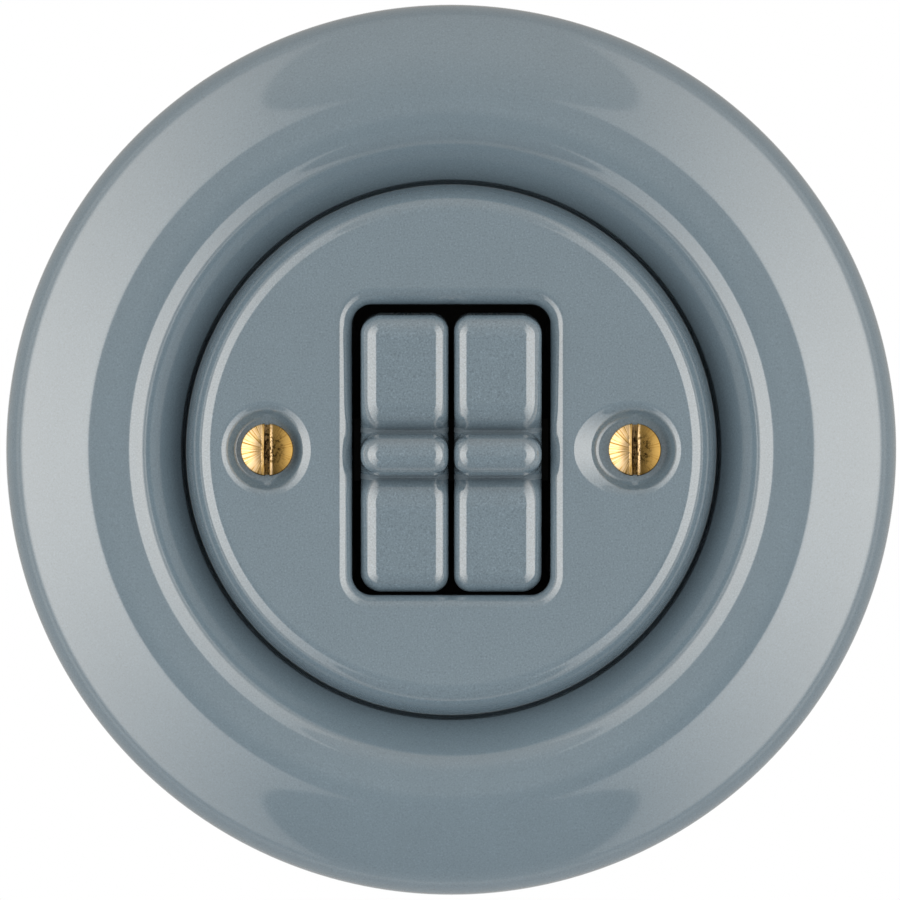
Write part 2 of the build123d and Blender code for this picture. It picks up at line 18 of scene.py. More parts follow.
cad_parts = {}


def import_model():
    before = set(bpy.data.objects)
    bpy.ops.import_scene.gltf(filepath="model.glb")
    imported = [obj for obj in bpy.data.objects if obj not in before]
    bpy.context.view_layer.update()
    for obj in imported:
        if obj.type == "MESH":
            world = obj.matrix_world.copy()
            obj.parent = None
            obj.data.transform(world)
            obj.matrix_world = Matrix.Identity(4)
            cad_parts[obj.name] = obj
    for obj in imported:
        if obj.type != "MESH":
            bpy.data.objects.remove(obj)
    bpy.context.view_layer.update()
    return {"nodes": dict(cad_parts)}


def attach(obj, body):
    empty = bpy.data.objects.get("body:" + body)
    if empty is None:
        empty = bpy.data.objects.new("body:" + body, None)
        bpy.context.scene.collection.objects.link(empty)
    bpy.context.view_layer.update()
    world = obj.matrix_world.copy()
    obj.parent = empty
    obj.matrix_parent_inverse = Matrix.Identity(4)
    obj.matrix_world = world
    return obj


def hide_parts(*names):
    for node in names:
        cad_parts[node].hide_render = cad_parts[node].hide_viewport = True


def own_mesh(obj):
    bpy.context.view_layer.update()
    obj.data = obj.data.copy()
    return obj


LOG = logging.getLogger("switch")
MM = 0.001
WELD = 0.002 * MM
SHARP_ANGLE = 35.0
FLAT_WEIGHT = 100
BEVEL_SAMPLES = 4
SCREW_X = 20.6021
SCREW_HEAD_RADIUS = 2.95

Colour = tuple[float, float, float]
Span = tuple[float, float]
Socket = bpy.types.NodeSocket
Feed = float | tuple | Socket
Mesh = bmesh.types.BMesh
Face = bmesh.types.BMFace
Vert = bmesh.types.BMVert
Piece = bpy.types.Object


class Side(Enum):
    """The two keys, by the sign of their X."""

    LEFT = -1
    RIGHT = 1

    @property
    def word(self) -> str:
        """The side as it stands in the names of bodies and nodes."""
        return self.name.lower()


@dataclass(frozen=True)
class RockerPivot:
    """Where a key and its spring turn, and how far they lean at rest. Millimetres and degrees."""

    x: float = 5.225
    height: float = 5.99
    tilt: float = 5.0

    def place(self, side: Side) -> Matrix:
        """From a rocker's own frame, X across and Y into the wall from the pivot, to the switch at rest."""
        spot = Matrix.Translation((side.value * self.x * MM, -self.height * MM, 0))
        return spot @ Matrix.Rotation(radians(self.tilt), 4, "X")


PIVOT = RockerPivot()


class NodeDraft:
    """Adds and joins the nodes of one node tree."""

    def __init__(self, tree: bpy.types.NodeTree) -> None:
        """Start on an existing tree."""
        self.tree = tree

    def node(self, kind: str, feeds: dict | None = None, **settings: object) -> bpy.types.Node:
        """Add a node.

        Args:
            kind: Blender's name of the node type.
            feeds: Values or sockets for its inputs, by input name or number.
            **settings: Properties of the node.

        Returns:
            The new node.
        """
        node = self.tree.nodes.new(kind)
        for name, value in settings.items():
            setattr(node, name, value)
        self.fill(node, feeds or {})
        return node

    def fill(self, node: bpy.types.Node, feeds: dict) -> None:
        """Feed several inputs of a node, by input name or number."""
        for key, value in feeds.items():
            self.feed(node.inputs[key], value)

    def feed(self, socket: Socket, value: Feed) -> None:
        """Link a socket to an input, or set the input's own value.

        Args:
            socket: The input.
            value: The socket that feeds it, or its value.
        """
        if isinstance(value, Socket):
            self.tree.links.new(value, socket)
        elif isinstance(value, tuple) and socket.type == "RGBA":
            socket.default_value = (*value, 1.0)
        else:
            socket.default_value = value

    def math(self, operation: str, *values: Feed) -> Socket:
        """Result of a Math node on up to three values."""
        return self.node("ShaderNodeMath", dict(enumerate(values)), operation=operation).outputs[0]

    def total(self, *values: Feed) -> Socket:
        """Sum of several values."""
        return reduce(lambda first, second: self.math("ADD", first, second), values)

    def product(self, *values: Feed) -> Socket:
        """Product of several values."""
        return reduce(lambda first, second: self.math("MULTIPLY", first, second), values)

    def squares(self, *values: Feed) -> Socket:
        """Sum of the squares of several values."""
        return self.total(*[self.math("POWER", value, 2.0) for value in values])

    def ramp(self, value: Feed, start: Feed, end: Feed, low: Feed = 0.0, high: Feed = 1.0) -> Socket:
        """Smooth rise from low at start to high at end.

        Args:
            value: What is looked up.
            start: Value at which the rise begins; above end, the rise runs backwards.
            end: Value at which it is complete.
            low: Result before the start.
            high: Result past the end.

        Returns:
            The result's socket.
        """
        feeds = dict(enumerate((value, start, end, low, high)))
        return self.node("ShaderNodeMapRange", feeds, interpolation_type="SMOOTHSTEP").outputs[0]

    def mix(self, share: Feed, first: Feed, second: Feed) -> Socket:
        """Number between two numbers."""
        return self.node("ShaderNodeMix", {0: share, 2: first, 3: second}).outputs[0]

    def blend(self, share: Feed, first: Feed, second: Feed) -> Socket:
        """Colour between two colours."""
        return self.node("ShaderNodeMix", {0: share, 6: first, 7: second}, data_type="RGBA").outputs[2]

    def noise(self, place: Feed, scale: Feed, detail: float = 2.0, roughness: float = 0.5) -> Socket:
        """Grey value of a noise texture."""
        feeds = {"Vector": place, "Scale": scale, "Detail": detail, "Roughness": roughness}
        return self.node("ShaderNodeTexNoise", feeds).outputs[0]

    def place(self, kind: str = "Object") -> Socket:
        """Coordinates of the point that is shaded."""
        return self.node("ShaderNodeTexCoord").outputs[kind]

    def split(self, vector: Feed) -> list[Socket]:
        """The three parts of a vector."""
        return list(self.node("ShaderNodeSeparateXYZ", {0: vector}).outputs)

    def relief(self, depth: float, height: Feed, edge_radius: float = 0.0) -> Socket:
        """Normal of a fine relief.

        Args:
            depth: Depth of the relief in millimetres.
            height: Its pattern.
            edge_radius: Radius in millimetres to which edges are softened, or 0 to leave them.

        Returns:
            The normal's socket.
        """
        feeds = {"Strength": 1.0, "Distance": depth * MM, "Height": height}
        if edge_radius:
            edges = self.node("ShaderNodeBevel", {"Radius": edge_radius * MM}, samples=BEVEL_SAMPLES)
            feeds["Normal"] = edges.outputs[0]
        return self.node("ShaderNodeBump", feeds).outputs[0]


class EffectGroup:
    """A shader node group with named sockets, built once and placed in several materials."""

    KINDS: ClassVar[dict[str, str]] = {"Place": "NodeSocketVector", "Colour": "NodeSocketColor"}

    def __init__(self, name: str, inputs: tuple[str, ...], outputs: tuple[str, ...]) -> None:
        """Make the empty group.

        Args:
            name: The group's name.
            inputs: Input names; one that ends in Place or Colour is of that kind, any other is a number.
            outputs: Output names, by the same rule.
        """
        self.tree = bpy.data.node_groups.new(name, "ShaderNodeTree")
        self.draft = NodeDraft(self.tree)
        for direction, labels in (("INPUT", inputs), ("OUTPUT", outputs)):
            for label in labels:
                kind = self.KINDS.get(label.split()[-1], "NodeSocketFloat")
                self.tree.interface.new_socket(label, in_out=direction, socket_type=kind)
        self.inputs = self.draft.node("NodeGroupInput").outputs
        self.output_node = self.draft.node("NodeGroupOutput")

    def put_out(self, feeds: dict[str, Feed]) -> None:
        """Feed the group's outputs."""
        self.draft.fill(self.output_node, feeds)

    def place(self, draft: NodeDraft, finish: object, **places: Feed) -> dict[str, Socket]:
        """Use the group in a material.

        Args:
            draft: The material's nodes.
            finish: The finish, with a field for each input that is not a place.
            **places: Where the group's patterns are looked up, by input.

        Returns:
            The group's outputs by name.
        """
        node = draft.node("ShaderNodeGroup", node_tree=self.tree)
        for socket in node.inputs:
            field = socket.name.lower().replace(" ", "_")
            draft.feed(socket, places[field] if field in places else getattr(finish, field))
        return {socket.name: socket for socket in node.outputs}


class Effects:
    """The effects that several finishes share. A span holds the levels of noise between which a mark comes in."""

    DARK_SPAN: ClassVar[Span] = (0.5, 0.72)
    PALE_SPAN: ClassVar[Span] = (0.48, 0.3)
    PALE_SHARE: ClassVar[float] = 0.35
    PATCH_SPAN: ClassVar[Span] = (0.42, 0.7)
    STREAK_SPAN: ClassVar[Span] = (0.62, 0.4)
    STREAK_SHARE: ClassVar[float] = 0.25
    LINE_SHARE: ClassVar[float] = 0.5
    ROUGH_SPAN: ClassVar[Span] = (0.1, 0.8)

    def __init__(self) -> None:
        """Build every group once."""
        self.flecks = self._flecks()
        self.wear = self._wear()

    def _flecks(self) -> EffectGroup:
        """Fired or moulded body: fine flecks on a cloudy colour, and a height for its skin.

        Returns:
            The group.
        """
        group = EffectGroup(
            "flecks and clouds",
            ("Place", "Colour", "Fleck Colour", "Fleck Scale", "Fleck Amount", "Cloud Scale", "Cloud Amount",
             "Skin Scale"),
            ("Flecked Colour", "Skin"),
        )
        draft, given = group.draft, group.inputs
        fine = draft.noise(given["Place"], given["Fleck Scale"], detail=3.0, roughness=0.65)
        fleck = draft.product(draft.ramp(fine, *self.DARK_SPAN), given["Fleck Amount"])
        pale = draft.product(draft.ramp(fine, *self.PALE_SPAN), given["Fleck Amount"], self.PALE_SHARE)
        cloud = draft.noise(given["Place"], given["Cloud Scale"], detail=4.0, roughness=0.55)
        level = draft.total(draft.product(draft.math("SUBTRACT", cloud, 0.5), given["Cloud Amount"], 2.0), 1.0, pale)
        tone = draft.node("ShaderNodeVectorMath", {0: given["Colour"], "Scale": level}, operation="SCALE").outputs[0]
        group.put_out({"Flecked Colour": draft.blend(fleck, tone, given["Fleck Colour"]),
                       "Skin": draft.noise(given["Place"], given["Skin Scale"])})
        return group

    def _wear(self) -> EffectGroup:
        """Metal: drawn or turned lines, tarnish in patches, and a height for the lines.

        Returns:
            The group.
        """
        group = EffectGroup(
            "lines and tarnish",
            ("Place", "Line Place", "Colour", "Tarnish Colour", "Line Scale", "Patch Scale", "Tarnish Amount",
             "Smooth", "Rough"),
            ("Worn Colour", "Roughness", "Lines"),
        )
        draft, given = group.draft, group.inputs
        lines = draft.noise(given["Line Place"], given["Line Scale"], detail=3.0, roughness=0.6)
        patches = draft.noise(given["Place"], given["Patch Scale"], detail=4.0, roughness=0.6)
        tarnish = draft.product(draft.ramp(patches, *self.PATCH_SPAN), given["Tarnish Amount"])
        streaks = draft.product(draft.ramp(lines, *self.STREAK_SPAN), self.STREAK_SHARE, given["Tarnish Amount"])
        share = draft.total(draft.product(lines, self.LINE_SHARE), tarnish)
        group.put_out({
            "Worn Colour": draft.blend(draft.total(tarnish, streaks), given["Colour"], given["Tarnish Colour"]),
            "Roughness": draft.ramp(share, *self.ROUGH_SPAN, given["Smooth"], given["Rough"]),
            "Lines": lines,
        })
        return group


def new_material(name: str) -> tuple[bpy.types.Material, NodeDraft, bpy.types.Node]:
    """Make a material that holds only a Principled shader.

    Args:
        name: The material's name.

    Returns:
        The material, its node draft and its shader.
    """
    material = bpy.data.materials.new(name)
    material.use_nodes = True
    draft = NodeDraft(material.node_tree)
    material.node_tree.nodes.clear()
    shader = draft.node("ShaderNodeBsdfPrincipled")
    draft.node("ShaderNodeOutputMaterial", {"Surface": shader.outputs[0]})
    return material, draft, shader


@dataclass(frozen=True)
class GlazeFinish:
    """Glossy fired glaze over porcelain, bare along the foot that stood in the kiln. Depths in millimetres."""

    name: str = "blue_grey_glaze"
    colour: Colour = (0.144, 0.200, 0.244)
    fleck_colour: Colour = (0.088, 0.124, 0.155)
    fleck_scale: float = 5200.0
    fleck_amount: float = 0.42
    cloud_scale: float = 170.0
    cloud_amount: float = 0.05
    skin_scale: float = 700.0
    skin_depth: float = 0.004
    foot_colour: Colour = (0.72, 0.68, 0.60)
    foot_roughness: float = 0.8
    foot_bare: float = 0.175
    foot_glazed: float = 0.35
    gloss_roughness: float = 0.10
    coat_roughness: float = 0.025
    refraction: float = 1.66

    def material(self, effects: Effects) -> bpy.types.Material:
        """Make the glaze's material.

        Args:
            effects: The shared node groups.

        Returns:
            The material.
        """
        material, draft, shader = new_material(self.name)
        place = draft.place()
        body = effects.flecks.place(draft, self, place=place)
        glazed = draft.ramp(draft.split(place)[1], -self.foot_bare * MM, -self.foot_glazed * MM)
        colour, gloss = self.crease_shade_and_gloss(draft, place, body["Flecked Colour"], glazed)
        draft.fill(shader, {
            "Base Color": draft.blend(glazed, self.foot_colour, colour),
            "Roughness": draft.ramp(gloss, 0.0, 1.0, self.foot_roughness, self.gloss_roughness),
            "Coat Weight": gloss,
            "Normal": draft.relief(self.skin_depth, body["Skin"]),
            "IOR": self.refraction,
            "Coat IOR": self.refraction,
            "Coat Roughness": self.coat_roughness,
        })
        return material

    def crease_shade_and_gloss(self, draft: NodeDraft, place: Feed, colour: Feed, gloss: Feed) -> tuple[Feed, Feed]:
        """Colour with painted shade in the creases, and gloss. An even coat has no creases and paints no shade."""
        return colour, gloss


@dataclass(frozen=True)
class KeyGlazeFinish(GlazeFinish):
    """Glaze of a rocker key, with painted shade and less gloss in the creases beside the finger ridge. Millimetres.
    """

    name: str = "key_glaze"
    fleck_amount: float = 0.9
    crease: float = 2.62
    # Painted shade: a darker colour that fades out from each crease.
    pool_colour: Colour = (0.045, 0.066, 0.084)
    pool_reach: float = 1.9
    pool_amount: float = 0.5
    dull_reach: float = 0.36
    dull_core: float = 0.144

    def crease_shade_and_gloss(self, draft: NodeDraft, place: Feed, colour: Feed, gloss: Feed) -> tuple[Feed, Feed]:
        """Paint shade into the glaze near the creases, which lie square to the tilted key, and lower its gloss there.

        Args:
            draft: The material's nodes.
            place: Object coordinates.
            colour: The even glaze's colour.
            gloss: The even glaze's gloss.

        Returns:
            The colour and the gloss.
        """
        _, depth, height = draft.split(place)
        lean = radians(PIVOT.tilt)
        sunk = draft.product(draft.total(depth, PIVOT.height * MM), sin(lean))
        along = draft.math("ABSOLUTE", draft.math("SUBTRACT", draft.product(height, cos(lean)), sunk))
        away = draft.math("ABSOLUTE", draft.math("SUBTRACT", along, self.crease * MM))
        # Painted shade in the creases beside the ridge; the mask after it only lowers the gloss.
        crease_shade = draft.ramp(away, self.pool_reach * MM, 0.0, 0.0, self.pool_amount)
        dull = draft.ramp(away, self.dull_reach * MM, self.dull_core * MM)
        return draft.blend(crease_shade, colour, self.pool_colour), draft.product(gloss, draft.math("SUBTRACT", 1.0, dull))


@dataclass(frozen=True)
class BodyFinish:
    """Unglazed ceramic or moulded plastic, with flecks, clouds and a fine skin. Depths in millimetres."""

    name: str
    colour: Colour
    fleck_colour: Colour
    roughness: float
    roughness_spread: float = 0.08
    skin_span: Span = (0.2, 0.8)
    fleck_scale: float = 2600.0
    fleck_amount: float = 0.25
    cloud_scale: float = 160.0
    cloud_amount: float = 0.12
    skin_scale: float = 2500.0
    skin_depth: float = 0.012
    edge_radius: float = 0.18
    gloss: float = 0.5

    def material(self, effects: Effects) -> bpy.types.Material:
        """Make the body's material.

        Args:
            effects: The shared node groups.

        Returns:
            The material.
        """
        material, draft, shader = new_material(self.name)
        body = effects.flecks.place(draft, self, place=draft.place())
        roughness = (self.roughness - self.roughness_spread, self.roughness + self.roughness_spread)
        draft.fill(shader, {
            "Base Color": body["Flecked Colour"],
            "Roughness": draft.ramp(body["Skin"], *self.skin_span, *roughness),
            "Normal": draft.relief(self.skin_depth, body["Skin"], self.edge_radius),
            "Specular IOR Level": self.gloss,
        })
        return material


class Grain(Enum):
    """How the lines of a metal surface run, as the stretch of the pattern along X, Y and Z."""

    DRAWN_Y = (1.0, 0.04, 1.0)
    PLATED = (1.0, 1.0, 1.0)


@dataclass(frozen=True)
class MetalFinish:
    """Metal with drawn lines, tarnish in patches and softened edges. Depths in millimetres."""

    name: str
    colour: Colour
    tarnish_colour: Colour
    smooth: float
    rough: float
    grain: Grain = Grain.PLATED
    line_scale: float = 3500.0
    line_depth: float = 0.004
    patch_scale: float = 260.0
    tarnish_amount: float = 0.4
    edge_radius: float = 0.08

    def material(self, effects: Effects) -> bpy.types.Material:
        """Make the metal's material.

        Args:
            effects: The shared node groups.

        Returns:
            The material.
        """
        material, draft, shader = new_material(self.name)
        place = draft.place()
        stretched = draft.node("ShaderNodeMapping", {"Vector": place, "Scale": self.grain.value})
        metal = effects.wear.place(draft, self, place=place, line_place=stretched.outputs[0])
        self.coat(draft, shader, metal, metal["Worn Colour"])
        return material

    def coat(self, draft: NodeDraft, shader: bpy.types.Node, metal: dict[str, Socket], colour: Socket) -> None:
        """Feed a shader with the metal.

        Args:
            draft: The material's nodes.
            shader: The Principled shader.
            metal: The outputs of the wear group.
            colour: The finished colour.
        """
        draft.fill(shader, {
            "Base Color": colour,
            "Roughness": metal["Roughness"],
            "Normal": draft.relief(self.line_depth, metal["Lines"], self.edge_radius),
            "Metallic": 1.0,
        })


@dataclass(frozen=True)
class TurnedFinish(MetalFinish):
    """Brass of the cover screws: strokes out from each axis, a painted highlight on the left half, painted shade and
    pits on the right half.

    Lengths are millimetres, but the spans of the lit and shaded halves, of the brim's painted shadow and of the pit
    height are shares of the head's radius.
    """

    name: str = "turned_brass"
    colour: Colour = (0.68, 0.43, 0.125)
    tarnish_colour: Colour = (0.20, 0.110, 0.025)
    smooth: float = 0.26
    rough: float = 0.46
    line_scale: float = 1.0
    line_depth: float = 0.012
    tarnish_amount: float = 0.15
    # Colours of painted light: a pale highlight for the left half and the slot's right edge, a shade for the right
    # half and the slot's left edge, and a near-black for the pits that also paints shade in the slot's bed and a
    # shadow round the brim.
    polish: Colour = (0.82, 0.64, 0.43)
    dull: Colour = (0.21, 0.135, 0.040)
    grime: Colour = (0.030, 0.017, 0.006)
    screw_x: float = SCREW_X
    head_radius: float = SCREW_HEAD_RADIUS
    ray_count: float = 15.0
    ray_fade: float = 260.0
    # Spans and amounts of the painted shade on the right half and the painted highlight on the left half.
    lit_and_shaded_halves: Span = (-0.35, 0.4)
    dull_amount: float = 0.85
    polish_span: Span = (0.38, 0.62)
    polish_amount: float = 0.75
    nick_span: Span = (0.47, 0.36)
    nick_amounts: Span = (0.9, 0.8)
    pit_scale: float = 3400.0
    pit_span: Span = (0.48, 0.57)
    pit_middle: float = 0.45
    pit_reach: float = 1.8
    pit_core: float = 0.63
    pit_height: Span = (0.8, 0.25)
    pit_amount: float = 0.9
    slot_half: float = 0.33
    slot_edge: float = 0.60
    slot_blur: float = 0.05
    # Painted shade on the slot's left edge and in its bed, painted highlight on its right edge.
    slot_dull: float = 0.7
    slot_bright: float = 0.4
    slot_grime: Span = (0.2, 0.9)
    # Painted shadow in a thin ring round the head's brim.
    brim: Span = (0.945, 0.985)
    brim_lower: Span = (-0.5, 0.6)
    brim_amount: float = 0.85

    def material(self, effects: Effects) -> bpy.types.Material:
        """Make the screws' material.

        Args:
            effects: The shared node groups.

        Returns:
            The material.
        """
        material, draft, shader = new_material(self.name)
        place = draft.place()
        x, _, z = draft.split(place)
        across = draft.math("ADD", x, draft.product(draft.math("SIGN", x), -self.screw_x * MM))
        turn = draft.math("ARCTAN2", across, z)
        reach = draft.math("SQRT", draft.squares(across, z))
        rays = draft.node("ShaderNodeCombineXYZ", {0: draft.product(turn, self.ray_count),
                                                   1: draft.product(reach, self.ray_fade)}).outputs[0]
        metal = effects.wear.place(draft, self, place=place, line_place=rays)
        strokes = metal["Lines"]
        # Painted shade over the right half of each head, and a painted highlight in the strokes of the left half.
        right = draft.ramp(across, *self.on_head(self.lit_and_shaded_halves))
        colour = draft.blend(draft.product(right, self.dull_amount), metal["Worn Colour"], self.dull)
        left_highlight = draft.product(draft.ramp(strokes, *self.polish_span), draft.ramp(right, 1.0, 0.0), self.polish_amount)
        colour = draft.blend(left_highlight, colour, self.polish)
        nicks = draft.product(draft.ramp(strokes, *self.nick_span), draft.ramp(right, 0.0, 1.0, *self.nick_amounts))
        colour = draft.blend(nicks, colour, self.tarnish_colour)
        holes = draft.ramp(draft.noise(place, self.pit_scale, detail=3.0, roughness=0.7), *self.pit_span)
        colour = draft.blend(self.pits(draft, holes, across, z), colour, self.grime)
        colour = self.slot_tones(draft, holes, across, colour)
        # Painted shadow in a thin ring round the brim, strongest at the lower right.
        lower = draft.ramp(draft.math("SUBTRACT", across, z), *self.on_head(self.brim_lower))
        brim = draft.product(draft.ramp(reach, *self.on_head(self.brim)), lower, self.brim_amount)
        self.coat(draft, shader, metal, draft.blend(brim, colour, self.grime))
        return material

    def on_head(self, span: Span) -> Span:
        """A span of shares of the head's radius, in metres."""
        return span[0] * self.head_radius * MM, span[1] * self.head_radius * MM

    def pits(self, draft: NodeDraft, holes: Feed, across: Feed, z: Feed) -> Socket:
        """Share of dark pits, which crowd beside the slot.

        Args:
            draft: The material's nodes.
            holes: Where the metal is pitted at all.
            across: Distance to the right of the screw's axis.
            z: Height above the screw's axis.

        Returns:
            The share's socket.
        """
        aside = draft.math("ABSOLUTE", draft.math("SUBTRACT", across, self.pit_middle * MM))
        near = draft.ramp(aside, self.pit_reach * MM, self.pit_core * MM)
        middle = draft.ramp(draft.math("ABSOLUTE", z), *self.on_head(self.pit_height))
        return draft.product(holes, near, middle, self.pit_amount)

    def slot_tones(self, draft: NodeDraft, holes: Feed, across: Feed, colour: Feed) -> Socket:
        """Lay the slot's painted light over a colour: painted shade on the left edge and in the bed, a painted
        highlight on the right edge.

        Args:
            draft: The material's nodes.
            holes: Where the metal is pitted.
            across: Distance to the right of the screw's axis.
            colour: The colour of the head.

        Returns:
            The new colour's socket.
        """
        blur, inner, outer = self.slot_blur * MM, self.slot_half * MM, self.slot_edge * MM
        aside = draft.math("ABSOLUTE", across)
        within = draft.ramp(aside, outer + blur, outer - blur)
        # Painted shade on the left edge and in the bed, painted highlight on the right edge.
        dull = draft.product(within, draft.ramp(across, -inner + blur, -inner - blur), self.slot_dull)
        bright = draft.product(within, draft.ramp(across, inner - blur, inner + blur),
                               draft.ramp(holes, 0.0, 1.0, self.slot_bright, 0.0))
        bed = draft.product(draft.ramp(aside, inner + blur, inner - blur),
                            draft.ramp(holes, 0.0, 1.0, *self.slot_grime))
        colour = draft.blend(dull, colour, self.dull)
        colour = draft.blend(bright, colour, self.polish)
        return draft.blend(bed, colour, self.grime)


def of_kind(parts: list, kind: type) -> list:
    """The vertices, edges or faces among what an operator gives back."""
    return [part for part in parts if isinstance(part, kind)]


class SectionPen:
    """Draws the section of a turned piece in the plane of radius and height, one stroke after another."""

    def __init__(self, bm: Mesh, radius: float, height: float, heading: float = 0.0) -> None:
        """Set the pen down.

        Args:
            bm: The mesh that takes the strokes.
            radius: Distance from the axis in millimetres.
            height: Height out of the wall in millimetres.
            heading: First direction in degrees, 0 outwards and 90 towards the viewer.
        """
        self.bm = bm
        self.heading = radians(heading)
        self.tip = bm.verts.new((radius * MM, -height * MM, 0.0))

    def arc(self, radius: float, turn: float, step: float = 2.5) -> None:
        """Draw an arc that leaves the pen's heading smoothly.

        Args:
            radius: The arc's radius in millimetres.
            turn: Change of heading in degrees, positive to the left.
            step: Angle of one facet in degrees.
        """
        reach = radius * MM if turn > 0 else -radius * MM
        centre = self.tip.co + reach * Vector((-sin(self.heading), -cos(self.heading), 0.0))
        steps = max(2, round(abs(turn) / step))
        swept = bmesh.ops.spin(self.bm, geom=[self.tip], cent=centre, axis=(0, 0, 1), dvec=(0, 0, 0),
                               angle=-radians(turn), steps=steps, use_duplicate=False)
        self.tip = of_kind(swept["geom_last"], Vert)[0]
        self.heading += radians(turn)

    def line(self, radius: float, height: float) -> None:
        """Draw a straight stroke.

        Args:
            radius: Distance of its end from the axis in millimetres.
            height: Height of its end out of the wall in millimetres.
        """
        grown = bmesh.ops.extrude_vert_indiv(self.bm, verts=[self.tip])
        goal = Vector((radius * MM, -height * MM, 0.0))
        bmesh.ops.translate(self.bm, verts=grown["verts"], vec=goal - self.tip.co)
        self.tip = grown["verts"][0]


@dataclass
class Shell:
    """A piece with a mesh of its own, and the ways to shape it. Millimetres and degrees."""

    bm: Mesh = field(default_factory=bmesh.new, init=False, repr=False)

    @property
    def geometry(self) -> list:
        """All vertices, edges and faces."""
        return self.bm.verts[:] + self.bm.edges[:] + self.bm.faces[:]

    @property
    def open_edges(self) -> list[bmesh.types.BMEdge]:
        """The edges that border on one face only."""
        return [edge for edge in self.bm.edges if edge.is_boundary]

    def pen(self, radius: float, height: float, heading: float = 0.0) -> SectionPen:
        """A pen that is set down on the mesh."""
        return SectionPen(self.bm, radius, height, heading)

    def weld(self) -> None:
        """Merge the vertices that lie in one place."""
        bmesh.ops.remove_doubles(self.bm, verts=self.bm.verts, dist=WELD)

    def face_outwards(self) -> None:
        """Turn every face to the outside."""
        bmesh.ops.recalc_face_normals(self.bm, faces=self.bm.faces)

    def turn_about_axis(self, steps: int) -> None:
        """Spin everything drawn so far once round the axis that is square to the wall."""
        bmesh.ops.spin(self.bm, geom=self.geometry, cent=(0, 0, 0), axis=(0, 1, 0), dvec=(0, 0, 0),
                       angle=2 * pi, steps=steps, use_merge=True, use_duplicate=False)
        self.weld()

    def rectangle(self, width: float, height: float, place: Matrix) -> list[Vert]:
        """Add a flat face.

        Args:
            width: Its width.
            height: Its height.
            place: From the plane of X and Y to its place.

        Returns:
            Its four corners.
        """
        corners = bmesh.ops.create_grid(self.bm, x_segments=1, y_segments=1, size=MM / 2)["verts"]
        bmesh.ops.scale(self.bm, vec=(width, height, 1), verts=corners)
        bmesh.ops.transform(self.bm, matrix=place, verts=corners)
        return corners

    def inset(self, face: Face, width: float, rise: float) -> None:
        """Carry a face inwards by a width and along its normal by a rise, and leave a border round it."""
        bmesh.ops.inset_individual(self.bm, faces=[face], thickness=width * MM, depth=rise * MM, use_even_offset=True)

    def roll_border(self, face: Face, radius: float, start: float, end: float, sense: int,
                    step: float = 6.0) -> list[list[Vert]]:
        """Round the border of a face by insetting it ring after ring along an arc.

        Args:
            face: The face, which is carried inwards and along its normal.
            radius: The arc's radius.
            start: First slope of the border against the face.
            end: Last slope.
            sense: 1 to raise the face, -1 to sink it.
            step: Angle of one ring.

        Returns:
            The rings of the border from the outside in, without the last.
        """
        count = max(2, round(abs(end - start) / step))
        slopes = [radians(start + (end - start) * k / count) for k in range(count + 1)]
        rings = []
        for before, after in zip(slopes, slopes[1:]):
            rings.append(face.verts[:])
            self.inset(face, radius * abs(sin(after) - sin(before)), sense * radius * abs(cos(after) - cos(before)))
        return rings

    def sink_through(self, face: Face, depth: float) -> None:
        """Draw a face straight into the piece and open it.

        Args:
            face: The face that becomes a hole.
            depth: Length of the hole's wall.
        """
        travel = -face.normal * depth * MM
        grown = bmesh.ops.extrude_discrete_faces(self.bm, faces=[face])["faces"]
        bmesh.ops.translate(self.bm, verts=grown[0].verts, vec=travel)
        bmesh.ops.delete(self.bm, geom=grown, context="FACES_ONLY")

    def fill_level(self, height: float, outward: int) -> None:
        """Fill between the open edges at one height.

        Args:
            height: Height above the wall.
            outward: Sign of Y on the filling's outer side.
        """
        rims = [edge for edge in self.open_edges
                if all(abs(vert.co.y + height * MM) < WELD for vert in edge.verts)]
        bmesh.ops.triangle_fill(self.bm, use_beauty=True, edges=rims, normal=(0, outward, 0))

    def finish(self, name: str, sharp: float = SHARP_ANGLE, flat_leads: bool = False) -> Piece:
        """Weld and close the mesh, and put it in the scene as a smooth piece.

        Args:
            name: The piece's name.
            sharp: Edges steeper than this angle stay sharp.
            flat_leads: Whether the large flat faces set the shading along their borders.

        Returns:
            The piece, at the origin.
        """
        self.weld()
        self.face_outwards()
        mesh = bpy.data.meshes.new(name)
        self.bm.to_mesh(mesh)
        self.bm.free()
        mesh.shade_smooth()
        mesh.set_sharp_from_angle(angle=radians(sharp))
        piece = bpy.data.objects.new(name, mesh)
        bpy.context.scene.collection.objects.link(piece)
        if flat_leads:
            modifier = piece.modifiers.new("flat faces lead", "WEIGHTED_NORMAL")
            modifier.weight = FLAT_WEIGHT
            modifier.keep_sharp = True
        return piece

    @staticmethod
    def dress(piece: Piece, material: bpy.types.Material, body: str, node: str, slot: str) -> None:
        """Give a new piece its finish and its place in the frame.

        Args:
            piece: The piece.
            material: Its material.
            body: The CAD body that it moves with.
            node: The CAD node that it stands for.
            slot: The record's material slot; not used.
        """
        piece.data.materials.append(material)
        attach(piece, body)
        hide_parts(node)
        LOG.info("%s: %d faces, stands for %s on %s", piece.name, len(piece.data.polygons), node, body)


